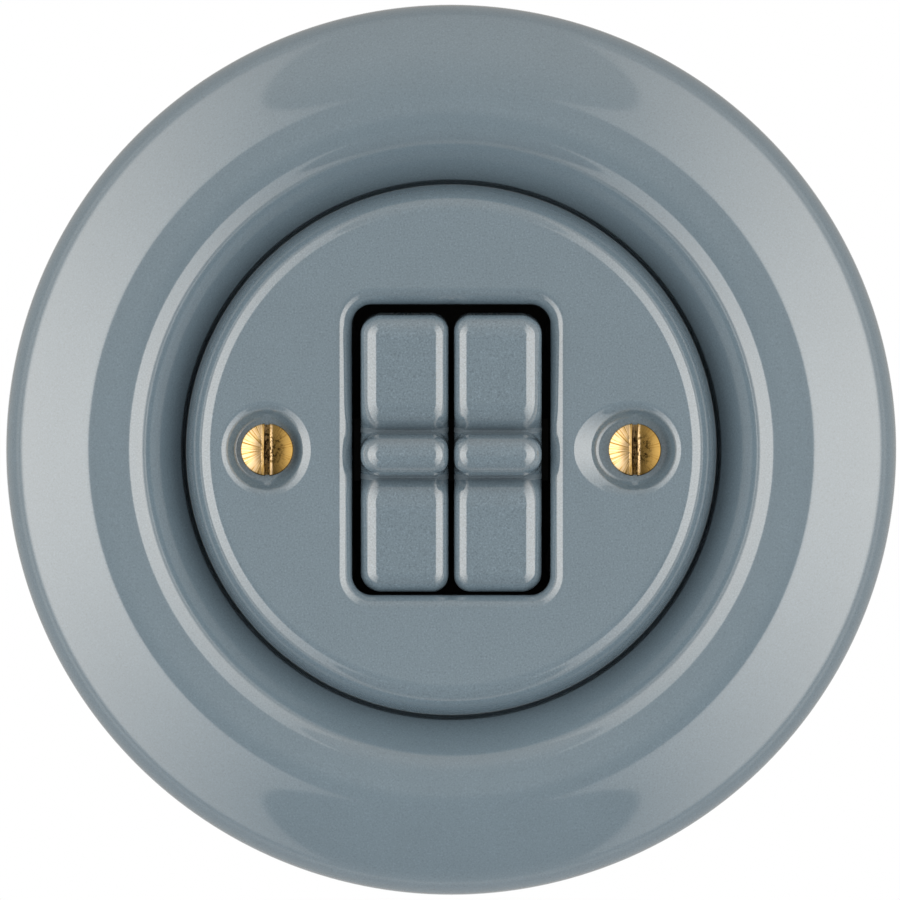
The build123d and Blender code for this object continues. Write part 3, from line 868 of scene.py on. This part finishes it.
@dataclass
class Surround(Shell):
    """The round porcelain frame: rolled crown, bowl-shaped opening and the rebate of the cover disc. Millimetres."""

    diameter: float = 100.0
    height: float = 12.0
    wall: float = 3.6
    rim_arc: float = 4.2
    shoulder_arc: float = 23.8
    crown_arc: float = 7.87
    lip_arc: float = 4.3
    bowl_arc: float = 14.0
    rim_angle: float = 38.0
    shoulder_angle: float = 17.0
    lip_angle: float = 38.0
    bowl_angle: float = 46.0
    bowl_depth: float = 5.45
    rebate_depth: float = 2.1
    rebate_radius: float = 30.3021
    rebate_edge: float = 0.3
    gap_foot: float = 29.8
    gap_rise: float = 1.0
    ledge_radius: float = 27.5021
    ledge_thickness: float = 1.7
    ledge_edge: float = 0.3
    foot_chamfer: float = 0.5
    steps: int = 256

    @property
    def crown_radius(self) -> float:
        """Radius of the highest line of the crown."""
        slopes = sin(radians(self.rim_angle)), sin(radians(self.shoulder_angle))
        shoulder = self.shoulder_arc * (slopes[0] - slopes[1])
        return self.diameter / 2 - self.rim_arc * (1 - slopes[0]) - shoulder - self.crown_arc * slopes[1]

    def build(self) -> Piece:
        """Turn the section into the shell.

        Returns:
            The piece.
        """
        self.draw_outside()
        self.draw_opening()
        self.draw_back()
        self.weld()
        self.turn_about_axis(self.steps)
        return self.finish("surround_shell")

    def draw_outside(self) -> None:
        """Draw the section from the crown over the shoulder and the rim to the foot."""
        rim = self.diameter / 2
        pen = self.pen(self.crown_radius, self.height)
        pen.arc(self.crown_arc, -self.shoulder_angle)
        pen.arc(self.shoulder_arc, self.shoulder_angle - self.rim_angle, step=1.5)
        pen.arc(self.rim_arc, self.rim_angle - 90)
        pen.line(rim, self.foot_chamfer)
        pen.line(rim - self.foot_chamfer, 0.0)
        pen.line(rim - self.wall, 0.0)

    def draw_opening(self) -> None:
        """Draw the section from the crown down the bowl and the rebate to the underside of the ledge."""
        foot = self.height - self.bowl_depth
        seat = foot - self.rebate_depth
        slope = radians(self.bowl_angle)
        set_back = self.rebate_edge * tan((pi / 2 - slope) / 2)
        pen = self.pen(self.crown_radius, self.height, 180.0)
        pen.arc(self.crown_arc, self.shoulder_angle)
        pen.arc(self.lip_arc, self.lip_angle - self.shoulder_angle)
        pen.arc(self.bowl_arc, self.bowl_angle - self.lip_angle, step=1.0)
        pen.line(self.rebate_radius + set_back * cos(slope), foot + set_back * sin(slope))
        pen.arc(self.rebate_edge, 90 - self.bowl_angle, step=8.0)
        pen.line(self.rebate_radius, seat + self.gap_rise)
        pen.line(self.gap_foot, seat)
        pen.line(self.ledge_radius + self.ledge_edge, seat)
        pen.line(self.ledge_radius, seat - self.ledge_edge)
        pen.line(self.ledge_radius, seat - self.ledge_thickness)

    def draw_back(self) -> None:
        """Draw the hollow back, one wall behind the face, from the foot to the ledge."""
        under = self.height - self.bowl_depth - self.rebate_depth - self.ledge_thickness
        outer = self.pen(self.crown_radius, self.height - self.wall)
        outer.arc(self.crown_arc - self.wall, -self.shoulder_angle, step=6.0)
        outer.arc(self.shoulder_arc - self.wall, self.shoulder_angle - self.rim_angle, step=6.0)
        outer.line(self.diameter / 2 - self.wall, 0.0)
        inner = self.pen(self.crown_radius, self.height - self.wall, 180.0)
        inner.arc(self.crown_arc - self.wall, self.shoulder_angle, step=6.0)
        inner.arc(self.lip_arc - self.wall, self.lip_angle - self.shoulder_angle, step=10.0)
        inner.arc(self.bowl_arc - self.wall, self.bowl_angle - self.lip_angle, step=4.0)
        inner.line(self.rebate_radius + self.wall * sin(radians(self.bowl_angle)), under)
        inner.line(self.ledge_radius, under)


@dataclass(frozen=True)
class DishChamfer:
    """The flat, hand-worked side of a dish's lip, which faces the keys. Millimetres from the screw's axis."""

    sign: int
    mouth: float
    foot: float


@dataclass
class CoverDisc(Shell):
    """The cover disc: rounded skirt, key window and two dished screw seats. Millimetres."""

    CHAMFERS: ClassVar[dict[Side, DishChamfer]] = {
        Side.LEFT: DishChamfer(1, 4.88, 3.88),
        Side.RIGHT: DishChamfer(-1, 6.85, 4.9),
    }

    radius: float = 29.72
    flat_radius: float = 26.2
    top: float = 12.14
    under: float = 7.94
    seat: float = 4.45
    edge_arc: float = 2.85
    edge_angle: float = 64.0
    skirt_radius: float = 27.5021
    window_width: float = 22.16
    window_height: float = 32.5
    window_corner: float = 2.2
    window_edge: float = 2.0
    window_angle: float = 82.0
    window_draft: float = 0.04
    screw_x: float = SCREW_X
    dish_lip: float = 1.5
    dish_cove: float = 1.2
    dish_angle: float = 58.0
    dish_depth: float = 1.5
    dish_floor: float = 3.15
    screw_hole: float = 1.7
    steps: int = 192
    corner_steps: int = 14
    dish_steps: int = 96

    def build(self) -> Piece:
        """Turn the skirt, sink the window and the dishes, and close the face and the underside.

        Returns:
            The piece.
        """
        pen = self.pen(self.flat_radius, self.top)
        pen.arc(self.edge_arc, -self.edge_angle, step=4.0)
        slope = radians(self.edge_angle)
        reach = self.radius - self.flat_radius - self.edge_arc * sin(slope)
        pen.line(self.radius, self.top - self.edge_arc * (1 - cos(slope)) - reach * tan(slope))
        pen.line(self.radius, self.seat)
        pen.line(self.skirt_radius, self.seat)
        pen.line(self.skirt_radius, self.under)
        self.turn_about_axis(self.steps)
        self.sink_window()
        for side, chamfer in self.CHAMFERS.items():
            self.sink_dish(side.value * self.screw_x, chamfer)
        self.fill_level(self.top, -1)
        self.fill_level(self.under, 1)
        return self.finish("cover_disc_shell", flat_leads=True)

    def facing(self, x: float) -> Matrix:
        """Place of a face on the disc's top that looks at the viewer."""
        return Matrix.Translation((x * MM, -self.top * MM, 0)) @ Matrix.Rotation(pi / 2, 4, "X")

    def sink_window(self) -> None:
        """Sink the rounded key window through the disc."""
        corners = self.rectangle(self.window_width + 2 * self.window_edge, self.window_height + 2 * self.window_edge,
                                 self.facing(0.0))
        rounded = bmesh.ops.bevel(self.bm, geom=corners, offset=(self.window_corner + self.window_edge) * MM,
                                  offset_type="OFFSET", segments=self.corner_steps, profile=0.5, affect="VERTICES",
                                  material=-1)
        face = next(face for vert in rounded["verts"] for face in vert.link_faces)
        self.roll_border(face, self.window_edge, 0, self.window_angle, -1)
        drop = self.top - self.under - self.window_edge * (1 - cos(radians(self.window_angle)))
        self.inset(face, self.window_draft, -drop)
        bmesh.ops.delete(self.bm, geom=[face], context="FACES_ONLY")

    def sink_dish(self, x: float, chamfer: DishChamfer) -> None:
        """Sink one dished seat with its screw hole.

        Args:
            x: Place of the screw in millimetres.
            chamfer: The flat side of its lip.
        """
        run, drop = self.flank
        mouth = self.lip_foot + self.dish_lip * sin(radians(self.dish_angle))
        rim = bmesh.ops.create_circle(self.bm, cap_ends=True, segments=self.dish_steps, radius=mouth * MM,
                                      matrix=self.facing(x))
        face = rim["verts"][0].link_faces[0]
        rings = self.roll_border(face, self.dish_lip, 0, self.dish_angle, -1, step=5.0)
        rings.append(face.verts[:])
        self.inset(face, run, -drop)
        rings += self.roll_border(face, self.dish_cove, self.dish_angle, 0, -1, step=5.0)
        rings.append(face.verts[:])
        for ring in rings:
            self.stretch(ring, x, chamfer)
        self.inset(face, self.dish_floor - self.screw_hole, 0.0)
        self.sink_through(face, self.top - self.under - self.dish_depth)

    def stretch(self, ring: list[Vert], x: float, chamfer: DishChamfer) -> None:
        """Move one half of a dish's ring sideways, so that the lip there is a straight chamfer.

        Args:
            ring: The vertices of the ring.
            x: Place of the screw in millimetres.
            chamfer: The flat side of the lip.
        """
        radius = max(abs(vert.co.x / MM - x) for vert in ring)
        depth = self.top + ring[0].co.y / MM
        lip_depth = self.dish_lip * (1 - cos(radians(self.dish_angle)))
        growth = chamfer.foot - self.lip_foot
        if depth < lip_depth:
            growth = chamfer.mouth + (chamfer.foot - chamfer.mouth) * depth / lip_depth - radius
        for vert in ring:
            lean = (vert.co.x / MM - x) * chamfer.sign / radius
            if lean > 0:
                bmesh.ops.translate(self.bm, verts=[vert], vec=(chamfer.sign * growth * MM * sqrt(lean), 0, 0))

    @property
    def flank(self) -> Span:
        """Run and drop of the straight flank between a dish's lip and its cove."""
        slope = radians(self.dish_angle)
        drop = self.dish_depth - (self.dish_lip + self.dish_cove) * (1 - cos(slope))
        return drop / tan(slope), drop

    @property
    def lip_foot(self) -> float:
        """Radius at which a dish's rounded lip ends."""
        return self.dish_floor + self.dish_cove * sin(radians(self.dish_angle)) + self.flank[0]


@dataclass(frozen=True)
class KeyEdge:
    """A long edge of a key, rounded from the pad to the side in three arcs. Millimetres."""

    pad_arc: float
    middle_arc: float
    side_arc: float
    middle_from: float = 17.0
    middle_to: float = 38.0

    @property
    def arcs(self) -> list[tuple[float, float, float]]:
        """Radius, first slope and last slope of each arc, against the pad."""
        slopes = (0.0, self.middle_from, self.middle_to, 90.0)
        return list(zip((self.pad_arc, self.middle_arc, self.side_arc), slopes, slopes[1:]))

    @property
    def width(self) -> float:
        """Width of the whole edge across the key."""
        return sum(radius * (sin(radians(end)) - sin(radians(start))) for radius, start, end in self.arcs)


@dataclass
class RockerKey(Shell):
    """One rocker key: two pads that roll down beside a finger ridge, round sides, a hollow back. Millimetres."""

    side: Side
    width: float = 9.85
    length: float = 31.2
    end_draft: float = 0.5
    end_arc: float = 2.3
    outer_edge: KeyEdge = KeyEdge(2.0, 2.9, 2.0)
    inner_edge: KeyEdge = KeyEdge(1.5, 2.25, 1.7)
    bottom: float = 2.005
    pad_rise: float = 7.0
    pad_thickness: float = 2.4
    pad_roll: float = 4.8
    pad_roll_angle: float = 42.0
    wall: float = 1.6
    end_wall: float = 2.2
    ridge_radius: float = 2.4
    ridge_cove: float = 0.12
    ridge_flank: float = 80.0
    ridge_rise: float = 1.72
    skirt: float = 3.0

    def build(self) -> Piece:
        """Draw the side view, widen it, round its sides and hollow its back.

        Returns:
            The piece.
        """
        face = self.side_view()
        right, left = self.widen(face)
        edges = (self.outer_edge, self.inner_edge)
        for flank, edge in zip((right, left), edges if self.side is Side.RIGHT else edges[::-1]):
            bmesh.ops.translate(self.bm, verts=flank.verts, vec=-flank.normal * edge.width * MM)
            for radius, start, end in edge.arcs:
                self.roll_border(flank, radius, 90 - start, 90 - end, 1)
        self.hollow()
        bmesh.ops.transform(self.bm, matrix=PIVOT.place(self.side), verts=self.bm.verts)
        return self.finish(f"{self.side.word}_key_shell", flat_leads=True)

    def side_view(self) -> Face:
        """Draw half of the section and mirror it.

        Returns:
            The side view as one face in the plane of length and height.
        """
        half = self.length / 2
        draft = tan(radians(self.end_draft))
        pad_end = half - (self.pad_rise - self.bottom) * draft
        roll, flank = cos(radians(self.pad_roll_angle)), cos(radians(self.ridge_flank))
        curved = self.ridge_radius * (1 - flank) + self.ridge_cove * (roll - flank) - self.pad_roll * (1 - roll)
        straight = self.ridge_rise - curved
        lean = 90 - self.end_draft
        set_back = self.end_arc * tan(radians(lean / 2))
        pen = self.pen(0.0, self.pad_rise + self.ridge_rise)
        pen.arc(self.ridge_radius, -self.ridge_flank, step=4.0)
        pen.line(self.ridge_radius * sin(radians(self.ridge_flank)) + straight / tan(radians(self.ridge_flank)),
                 self.pad_rise + curved - self.ridge_radius * (1 - flank))
        pen.arc(self.ridge_cove, self.ridge_flank + self.pad_roll_angle, step=8.0)
        pen.arc(self.pad_roll, -self.pad_roll_angle, step=2.0)
        pen.line(pad_end - set_back, self.pad_rise)
        pen.arc(self.end_arc, -lean, step=5.0)
        pen.line(half + self.skirt * draft, self.bottom - self.skirt)
        pen.line(0.0, self.bottom - self.skirt)
        bmesh.ops.mirror(self.bm, geom=self.geometry, matrix=Matrix(), merge_dist=WELD, axis="X")
        return bmesh.ops.contextual_create(self.bm, geom=self.bm.edges[:])["faces"][0]

    def widen(self, face: Face) -> tuple[Face, Face]:
        """Turn the side view into its plane and extrude it to the key's width.

        Args:
            face: The side view.

        Returns:
            The right and the left side face.
        """
        bmesh.ops.rotate(self.bm, cent=(0, 0, 0), matrix=Matrix.Rotation(-pi / 2, 3, "Y"), verts=self.bm.verts)
        bmesh.ops.translate(self.bm, verts=self.bm.verts, vec=(-self.width / 2 * MM, 0, 0))
        grown = bmesh.ops.extrude_face_region(self.bm, geom=[face], use_keep_orig=True)["geom"]
        right = of_kind(grown, Face)[0]
        bmesh.ops.translate(self.bm, verts=right.verts, vec=(self.width * MM, 0, 0))
        self.face_outwards()
        return right, face

    def hollow(self) -> None:
        """Cut the skirt off at the key's bottom and sink the pocket of the cradle into it."""
        level = -self.bottom * MM
        bmesh.ops.bisect_plane(self.bm, geom=self.geometry, plane_co=(0, level, 0),
                               plane_no=(0, 1, 0), clear_outer=True)
        turned = Matrix.Translation((0, level, 0)) @ Matrix.Rotation(-pi / 2, 4, "X")
        pocket = self.rectangle(self.width - 2 * self.wall, self.length - 2 * self.end_wall, turned)
        roof = bmesh.ops.extrude_discrete_faces(self.bm, faces=[pocket[0].link_faces[0]])["faces"][0]
        pocket_depth = self.pad_rise - self.pad_thickness - self.bottom
        bmesh.ops.translate(self.bm, verts=roof.verts, vec=(0, -pocket_depth * MM, 0))
        self.fill_level(self.bottom, 1)


@dataclass
class CoverScrews(Shell):
    """The two turned brass screws of the cover disc, each with an upright slot. Millimetres."""

    screw_x: float = SCREW_X
    head_radius: float = SCREW_HEAD_RADIUS
    head_taper: float = 0.3
    shank_radius: float = 1.45
    shank_chamfer: float = 0.4
    floor: float = 10.64
    head_side: float = 0.9
    dome: float = 0.75
    rim_round: float = 0.2
    slot_width: float = 0.66
    slot_bed_width: float = 0.46
    slot_depth: float = 1.25
    slot_chamfer: float = 0.27
    slot_chamfer_drop: float = 0.19
    shank_end: float = 3.64
    lean: float = 2.0
    sharp: float = 30.0
    steps: int = 96

    @property
    def top(self) -> float:
        """Height of the dome's middle."""
        return self.floor + self.head_side + self.dome

    def build(self) -> Piece:
        """Turn and slot one screw, and set a copy at each seat.

        Returns:
            The piece, which holds both screws.
        """
        self.turn()
        self.slot()
        head = Vector((0, -self.floor * MM, 0))
        bmesh.ops.rotate(self.bm, cent=head, matrix=Matrix.Rotation(radians(-self.lean), 3, "Z"), verts=self.bm.verts)
        first = self.bm.verts[:]
        twins = of_kind(bmesh.ops.duplicate(self.bm, geom=self.geometry)["geom"], Vert)
        for verts, side in ((first, Side.LEFT), (twins, Side.RIGHT)):
            bmesh.ops.translate(self.bm, verts=verts, vec=(side.value * self.screw_x * MM, 0, 0))
        return self.finish("cover_screw_pair", self.sharp)

    def turn(self) -> None:
        """Turn the head's dome, rim and tapered side and the shank."""
        ball = (self.head_radius ** 2 + self.dome ** 2) / (2 * self.dome)
        lean = degrees(asin(self.head_taper / self.head_side))
        slope = degrees(asin((self.head_radius - self.rim_round) / (ball - self.rim_round)))
        pen = self.pen(0.0, self.top)
        pen.arc(ball, -slope, step=3.0)
        pen.arc(self.rim_round, slope - 90 - lean, step=12.0)
        pen.line(self.head_radius - self.head_taper, self.floor)
        pen.line(self.shank_radius, self.floor)
        pen.line(self.shank_radius, self.shank_end + self.shank_chamfer)
        pen.line(self.shank_radius - self.shank_chamfer, self.shank_end)
        pen.line(0.0, self.shank_end)
        self.turn_about_axis(self.steps)
        self.face_outwards()

    def slot(self) -> None:
        """Cut the tapered slot: part the head along it, lift out the strip, and close its walls and bed."""
        bed = -(self.top - self.slot_depth) * MM
        foot = self.slot_bed_width / 2 * MM
        taper = (self.slot_width - self.slot_bed_width) / 2 / self.slot_depth
        cuts = [((side.value * foot, bed, 0), (side.value, taper, 0)) for side in Side]
        edge = (self.slot_width / 2 + self.slot_chamfer) * MM
        cuts += [((side.value * edge, bed, 0), (1, 0, 0)) for side in Side]
        for point, normal in [*cuts, ((0, bed, 0), (0, 1, 0))]:
            bmesh.ops.bisect_plane(self.bm, geom=self.geometry, plane_co=point, plane_no=normal)
        strip = [face for face in self.bm.faces
                 if self.off_wall(face.calc_center_median(), bed, foot, taper) < 0
                 and face.calc_center_median().y < bed]
        bmesh.ops.delete(self.bm, geom=strip, context="FACES")
        brim = [edge for edge in self.open_edges
                if all(abs(self.off_wall(vert.co, bed, foot, taper)) < WELD for vert in edge.verts)]
        walls = bmesh.ops.extrude_edge_only(self.bm, edges=brim)["geom"]
        lower = of_kind(walls, Vert)
        for side in Side:
            drawn = [vert for vert in lower if vert.co.x * side.value > 0]
            line = Matrix.Translation((-side.value * foot, -bed, 0))
            bmesh.ops.scale(self.bm, vec=(0, 0, 1), space=line, verts=drawn)
        self.weld()
        bmesh.ops.dissolve_degenerate(self.bm, dist=WELD, edges=self.bm.edges)
        bmesh.ops.holes_fill(self.bm, edges=self.open_edges, sides=0)
        self.face_outwards()
        self.break_edges(bed, edge)

    def break_edges(self, bed: float, edge: float) -> None:
        """Lower the head beside the slot, so that a chamfer follows the dome on both sides.

        Args:
            bed: Place of the slot's bed along Y, in metres.
            edge: Distance of the chamfers' outer edges from the screw's axis, in metres.
        """
        for vert in [vert for vert in self.bm.verts if abs(vert.co.x) < edge - WELD and vert.co.y < bed - WELD]:
            share = min(1.0, (edge - abs(vert.co.x)) / (self.slot_chamfer * MM))
            bmesh.ops.translate(self.bm, verts=[vert], vec=(0, share * self.slot_chamfer_drop * MM, 0))

    @staticmethod
    def off_wall(point: Vector, bed: float, foot: float, taper: float) -> float:
        """Distance of a point outside the slot's nearer wall along X, in metres."""
        return abs(point.x) - foot - (bed - point.y) * taper


@dataclass
class BarrelSpring(Shell):
    """The coil spring in a cradle's barrel, drawn at its rest length though the plunger shortens the real one.
    Millimetres.
    """

    side: Side
    seat: float = 1.9
    shoulder: float = 7.0
    wire: float = 0.5
    coil_radius: float = 1.3
    turns: int = 4
    stroke: float = 0.8
    steps: int = 40
    wire_steps: int = 14
    play: float = 0.01

    def build(self) -> Piece:
        """Wind the coil between the barrel's end and the plunger's shoulder.

        Returns:
            The piece.
        """
        first = self.seat + self.wire / 2 + self.play
        rise = self.shoulder - self.wire / 2 - self.play - first
        start = Matrix.Translation((self.coil_radius * MM, first * MM, 0))
        bmesh.ops.create_circle(self.bm, cap_ends=False, segments=self.wire_steps, radius=self.wire / 2 * MM,
                                matrix=start)
        count = self.steps * self.turns
        bmesh.ops.spin(self.bm, geom=self.geometry, cent=(0, 0, 0), axis=(0, 1, 0),
                       dvec=(0, rise / count * MM, 0), angle=2 * pi * self.turns, steps=count)
        bmesh.ops.holes_fill(self.bm, edges=self.open_edges, sides=0)
        bmesh.ops.transform(self.bm, matrix=PIVOT.place(self.side), verts=self.bm.verts)
        return self.finish(f"{self.side.word}_coil")

    def squeeze(self, coil: Piece) -> None:
        """Give the coil a mesh of its own.

        Args:
            coil: The piece.
        """
        place = PIVOT.place(self.side)
        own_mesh(coil)


class Works:
    """Everything behind the cover: CAD nodes that keep their shape and get a real finish."""

    FINISHES: ClassVar[dict[str, BodyFinish | MetalFinish]] = {
        "bisque": BodyFinish("unglazed_porcelain", (0.76, 0.72, 0.64), (0.50, 0.44, 0.36), roughness=0.62),
        "thermoset": BodyFinish("black_thermoset", (0.007, 0.0065, 0.0065), (0.020, 0.018, 0.016), roughness=0.5,
                                gloss=0.12),
        "steel": MetalFinish("zinc_plated_steel", (0.60, 0.61, 0.62), (0.40, 0.40, 0.41), smooth=0.24, rough=0.42,
                             patch_scale=420.0, tarnish_amount=0.3),
        "brass": MetalFinish("drawn_brass", (0.72, 0.53, 0.25), (0.36, 0.22, 0.09), smooth=0.22, rough=0.42,
                             grain=Grain.DRAWN_Y),
        "silver": MetalFinish("silver_contact", (0.82, 0.81, 0.78), (0.45, 0.42, 0.38), smooth=0.18, rough=0.36),
    }

    def __init__(self, nodes: dict[str, Piece]) -> None:
        """Take the CAD nodes of the frame."""
        self.nodes = nodes

    def dress(self, effects: Effects) -> None:
        """Give each CAD node that still shows the finish of its slot.

        Args:
            effects: The shared node groups.
        """
        materials = {slot: finish.material(effects) for slot, finish in self.FINISHES.items()}
        for name, node in sorted(self.nodes.items()):
            if node.hide_render:
                continue
            slot = node.material_slots[0].material.name.split(".")[0]
            node.material_slots[0].material = materials[slot]
            LOG.info("%s: %s", name, materials[slot].name)


@dataclass
class Studio:
    """Soft light from both sides, a white surround, a pale floor and the camera.

    Angles are measured from the camera's axis, in degrees. Lengths of the floor and the camera are metres.
    """

    wall_near: float = 33.8
    wall_far: float = 76.0
    soft_edge: float = 1.4
    wall_level: float = 2.8
    wall_tint: Colour = (1.05, 1.0, 0.94)
    side_falloff: float = 2.0
    gap_width: float = 0.54
    gap_centre: float = 0.874
    gap_depth: float = 0.717
    gap_blur: Span = (0.92, 1.08)
    guard: float = 1e-4
    up_span: Span = (-0.7, 0.7)
    front_span: Span = (-0.3, 0.0)
    front_levels: Span = (0.20, 0.36)
    fill_angles: Span = (62.0, 16.0)
    fill_levels: Span = (0.22, 0.62)
    side_span: Span = (0.5, 0.9)
    horizon_angles: Span = (88.0, 68.0)
    horizon_level: float = 0.6
    side_horizon: float = 0.8
    rear_angles: Span = (96.0, 86.5)
    rear_level: float = 0.45
    white_from: float = 160.0
    camera_distance: float = 3.0
    camera_x: float = -0.000135
    camera_z: float = -0.00003
    lens: float = 1067.2
    floor_radius: float = 0.35
    floor_drop: float = 0.0755
    floor_steps: int = 128
    floor_tones: tuple[Colour, Colour] = ((0.82, 0.86, 0.91), (0.86, 0.90, 0.95))
    floor_grain: float = 60.0
    floor_fade: Span = (0.95, 0.35)
    floor_roughness: float = 0.9
    floor_gloss: float = 0.1

    def build(self) -> None:
        """Set up the world, the floor and the camera."""
        bpy.context.scene.view_settings.view_transform = "Standard"
        self.light_world()
        self.lay_floor()
        self.set_camera()
        LOG.info("studio: world, floor and camera")

    def light_world(self) -> None:
        """Make a world of two curved light walls, white for what looks straight at it."""
        world = bpy.data.worlds.new("studio_world")
        bpy.context.scene.world = world
        world.use_nodes = True
        world.node_tree.nodes.clear()
        draft = NodeDraft(world.node_tree)
        x, y, z = draft.split(draft.place("Generated"))
        toward = draft.product(y, -1.0)
        radius = draft.math("SQRT", draft.squares(x, z, 10 * self.guard))
        sideways = draft.math("DIVIDE", draft.math("ABSOLUTE", x), radius)
        up = draft.math("DIVIDE", z, radius)
        share = self.wall_share(draft, x, z, toward, sideways)
        fill = draft.ramp(up, *self.up_span, *self.fill_levels)
        front = draft.ramp(z, *self.front_span, *self.front_levels)
        horizon = draft.ramp(draft.ramp(sideways, *self.side_span), 0.0, 1.0, self.horizon_level, self.side_horizon)
        level = draft.ramp(toward, *self.span_of(*self.fill_angles), fill, front)
        level = draft.ramp(toward, *self.span_of(*self.horizon_angles), horizon, level)
        level = draft.ramp(toward, *self.span_of(*self.rear_angles), self.rear_level, level)
        within = draft.product(share, draft.ramp(toward, *self.edge_of(self.wall_far)),
                               draft.ramp(toward, *self.edge_of(self.wall_near)[::-1]))
        level = draft.mix(within, level, self.wall_level)
        behind = draft.ramp(toward, *self.edge_of(self.white_from)[::-1])
        studio = draft.node("ShaderNodeBackground", {"Color": self.wall_tint, "Strength": level})
        white = draft.node("ShaderNodeBackground", {"Color": (1.0, 1.0, 1.0), "Strength": 1.0})
        path = draft.node("ShaderNodeLightPath").outputs
        straight = draft.math("MAXIMUM", path["Is Camera Ray"], path["Is Transmission Ray"])
        seen = draft.math("MAXIMUM", straight, draft.product(path["Is Glossy Ray"], behind))
        mixed = draft.node("ShaderNodeMixShader", {0: seen, 1: studio.outputs[0], 2: white.outputs[0]})
        draft.node("ShaderNodeOutputWorld", {"Surface": mixed.outputs[0]})

    def edge_of(self, angle: float) -> Span:
        """Cosines between which a light wall begins or ends softly at an angle."""
        return self.span_of(angle + self.soft_edge, angle - self.soft_edge)

    @staticmethod
    def span_of(first: float, last: float) -> Span:
        """Cosines of two angles."""
        return cos(radians(first)), cos(radians(last))

    def wall_share(self, draft: NodeDraft, x: Feed, z: Feed, toward: Feed, sideways: Feed) -> Socket:
        """Share of wall light in a direction: full at both sides, none in the lens-shaped gap above and below.

        Args:
            draft: The world's nodes.
            x: The direction's part to the right.
            z: The direction's upward part.
            toward: The direction's part towards the camera.
            sideways: How far the direction leans to a side rather than up or down.

        Returns:
            0 outside the walls, up to 1 at their middle.
        """
        steep = draft.math("ADD", draft.math("ABSOLUTE", z), self.guard)
        across = draft.math("DIVIDE", draft.math("DIVIDE", x, steep), self.gap_width)
        along = draft.math("SUBTRACT", draft.math("DIVIDE", toward, steep), self.gap_centre)
        lens = draft.squares(across, draft.math("DIVIDE", along, self.gap_depth))
        return draft.product(draft.ramp(lens, *self.gap_blur), draft.math("POWER", sideways, self.side_falloff))

    def lay_floor(self) -> None:
        """Lay a round pale floor that fades into the white around it."""
        disc = Shell()
        bmesh.ops.create_circle(disc.bm, cap_ends=True, segments=self.floor_steps, radius=self.floor_radius,
                                matrix=Matrix.Translation((0, 0, -self.floor_drop)))
        floor = disc.finish("floor")
        material, draft, shader = new_material("pale_floor")
        place = draft.place()
        x, y, _ = draft.split(place)
        reach = draft.math("SQRT", draft.squares(x, y))
        outer, inner = (share * self.floor_radius for share in self.floor_fade)
        draft.fill(shader, {
            "Base Color": draft.blend(draft.noise(place, self.floor_grain), *self.floor_tones),
            "Alpha": draft.ramp(reach, outer, inner),
            "Roughness": self.floor_roughness,
            "Specular IOR Level": self.floor_gloss,
        })
        floor.data.materials.append(material)
        floor.visible_glossy = False
        floor.visible_shadow = False

    def set_camera(self) -> None:
        """Put the camera square in front of the switch."""
        data = bpy.data.cameras.new("camera")
        data.lens = self.lens
        camera = bpy.data.objects.new("camera", data)
        camera.location = (self.camera_x, -self.camera_distance, self.camera_z)
        camera.rotation_euler = (pi / 2, 0, 0)
        bpy.context.scene.collection.objects.link(camera)
        bpy.context.scene.camera = camera


def main() -> None:
    """Build the switch around its frame, dress it and set up the studio."""
    logging.basicConfig(level=logging.INFO, format="%(name)s: %(message)s")
    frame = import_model()
    effects = Effects()
    glaze = GlazeFinish().material(effects)
    disc_glaze = GlazeFinish("disc_glaze", fleck_amount=0.6).material(effects)
    key_glaze = KeyGlazeFinish().material(effects)
    surround, disc, screws = Surround(), CoverDisc(), CoverScrews()
    surround.dress(surround.build(), glaze, "housing", "surround_ring", "glaze")
    disc.dress(disc.build(), disc_glaze, "housing", "cover_disc", "glaze")
    for side in Side:
        key = RockerKey(side)
        key.dress(key.build(), key_glaze, f"{side.word}_rocker", f"{side.word}_rocker_key", "glaze")
    screws.dress(screws.build(), TurnedFinish().material(effects), "housing", "cover_screws", "brass")
    spring_steel = MetalFinish("spring_steel", (0.44, 0.44, 0.45), (0.27, 0.27, 0.28), smooth=0.25, rough=0.42)
    spring_finish = spring_steel.material(effects)
    for side in Side:
        spring = BarrelSpring(side)
        coil = spring.build()
        spring.dress(coil, spring_finish, f"{side.word}_rocker", f"{side.word}_spring", "steel")
        spring.squeeze(coil)
    Works(frame["nodes"]).dress(effects)
    Studio().build()


if __name__ == "__main__":
    main()
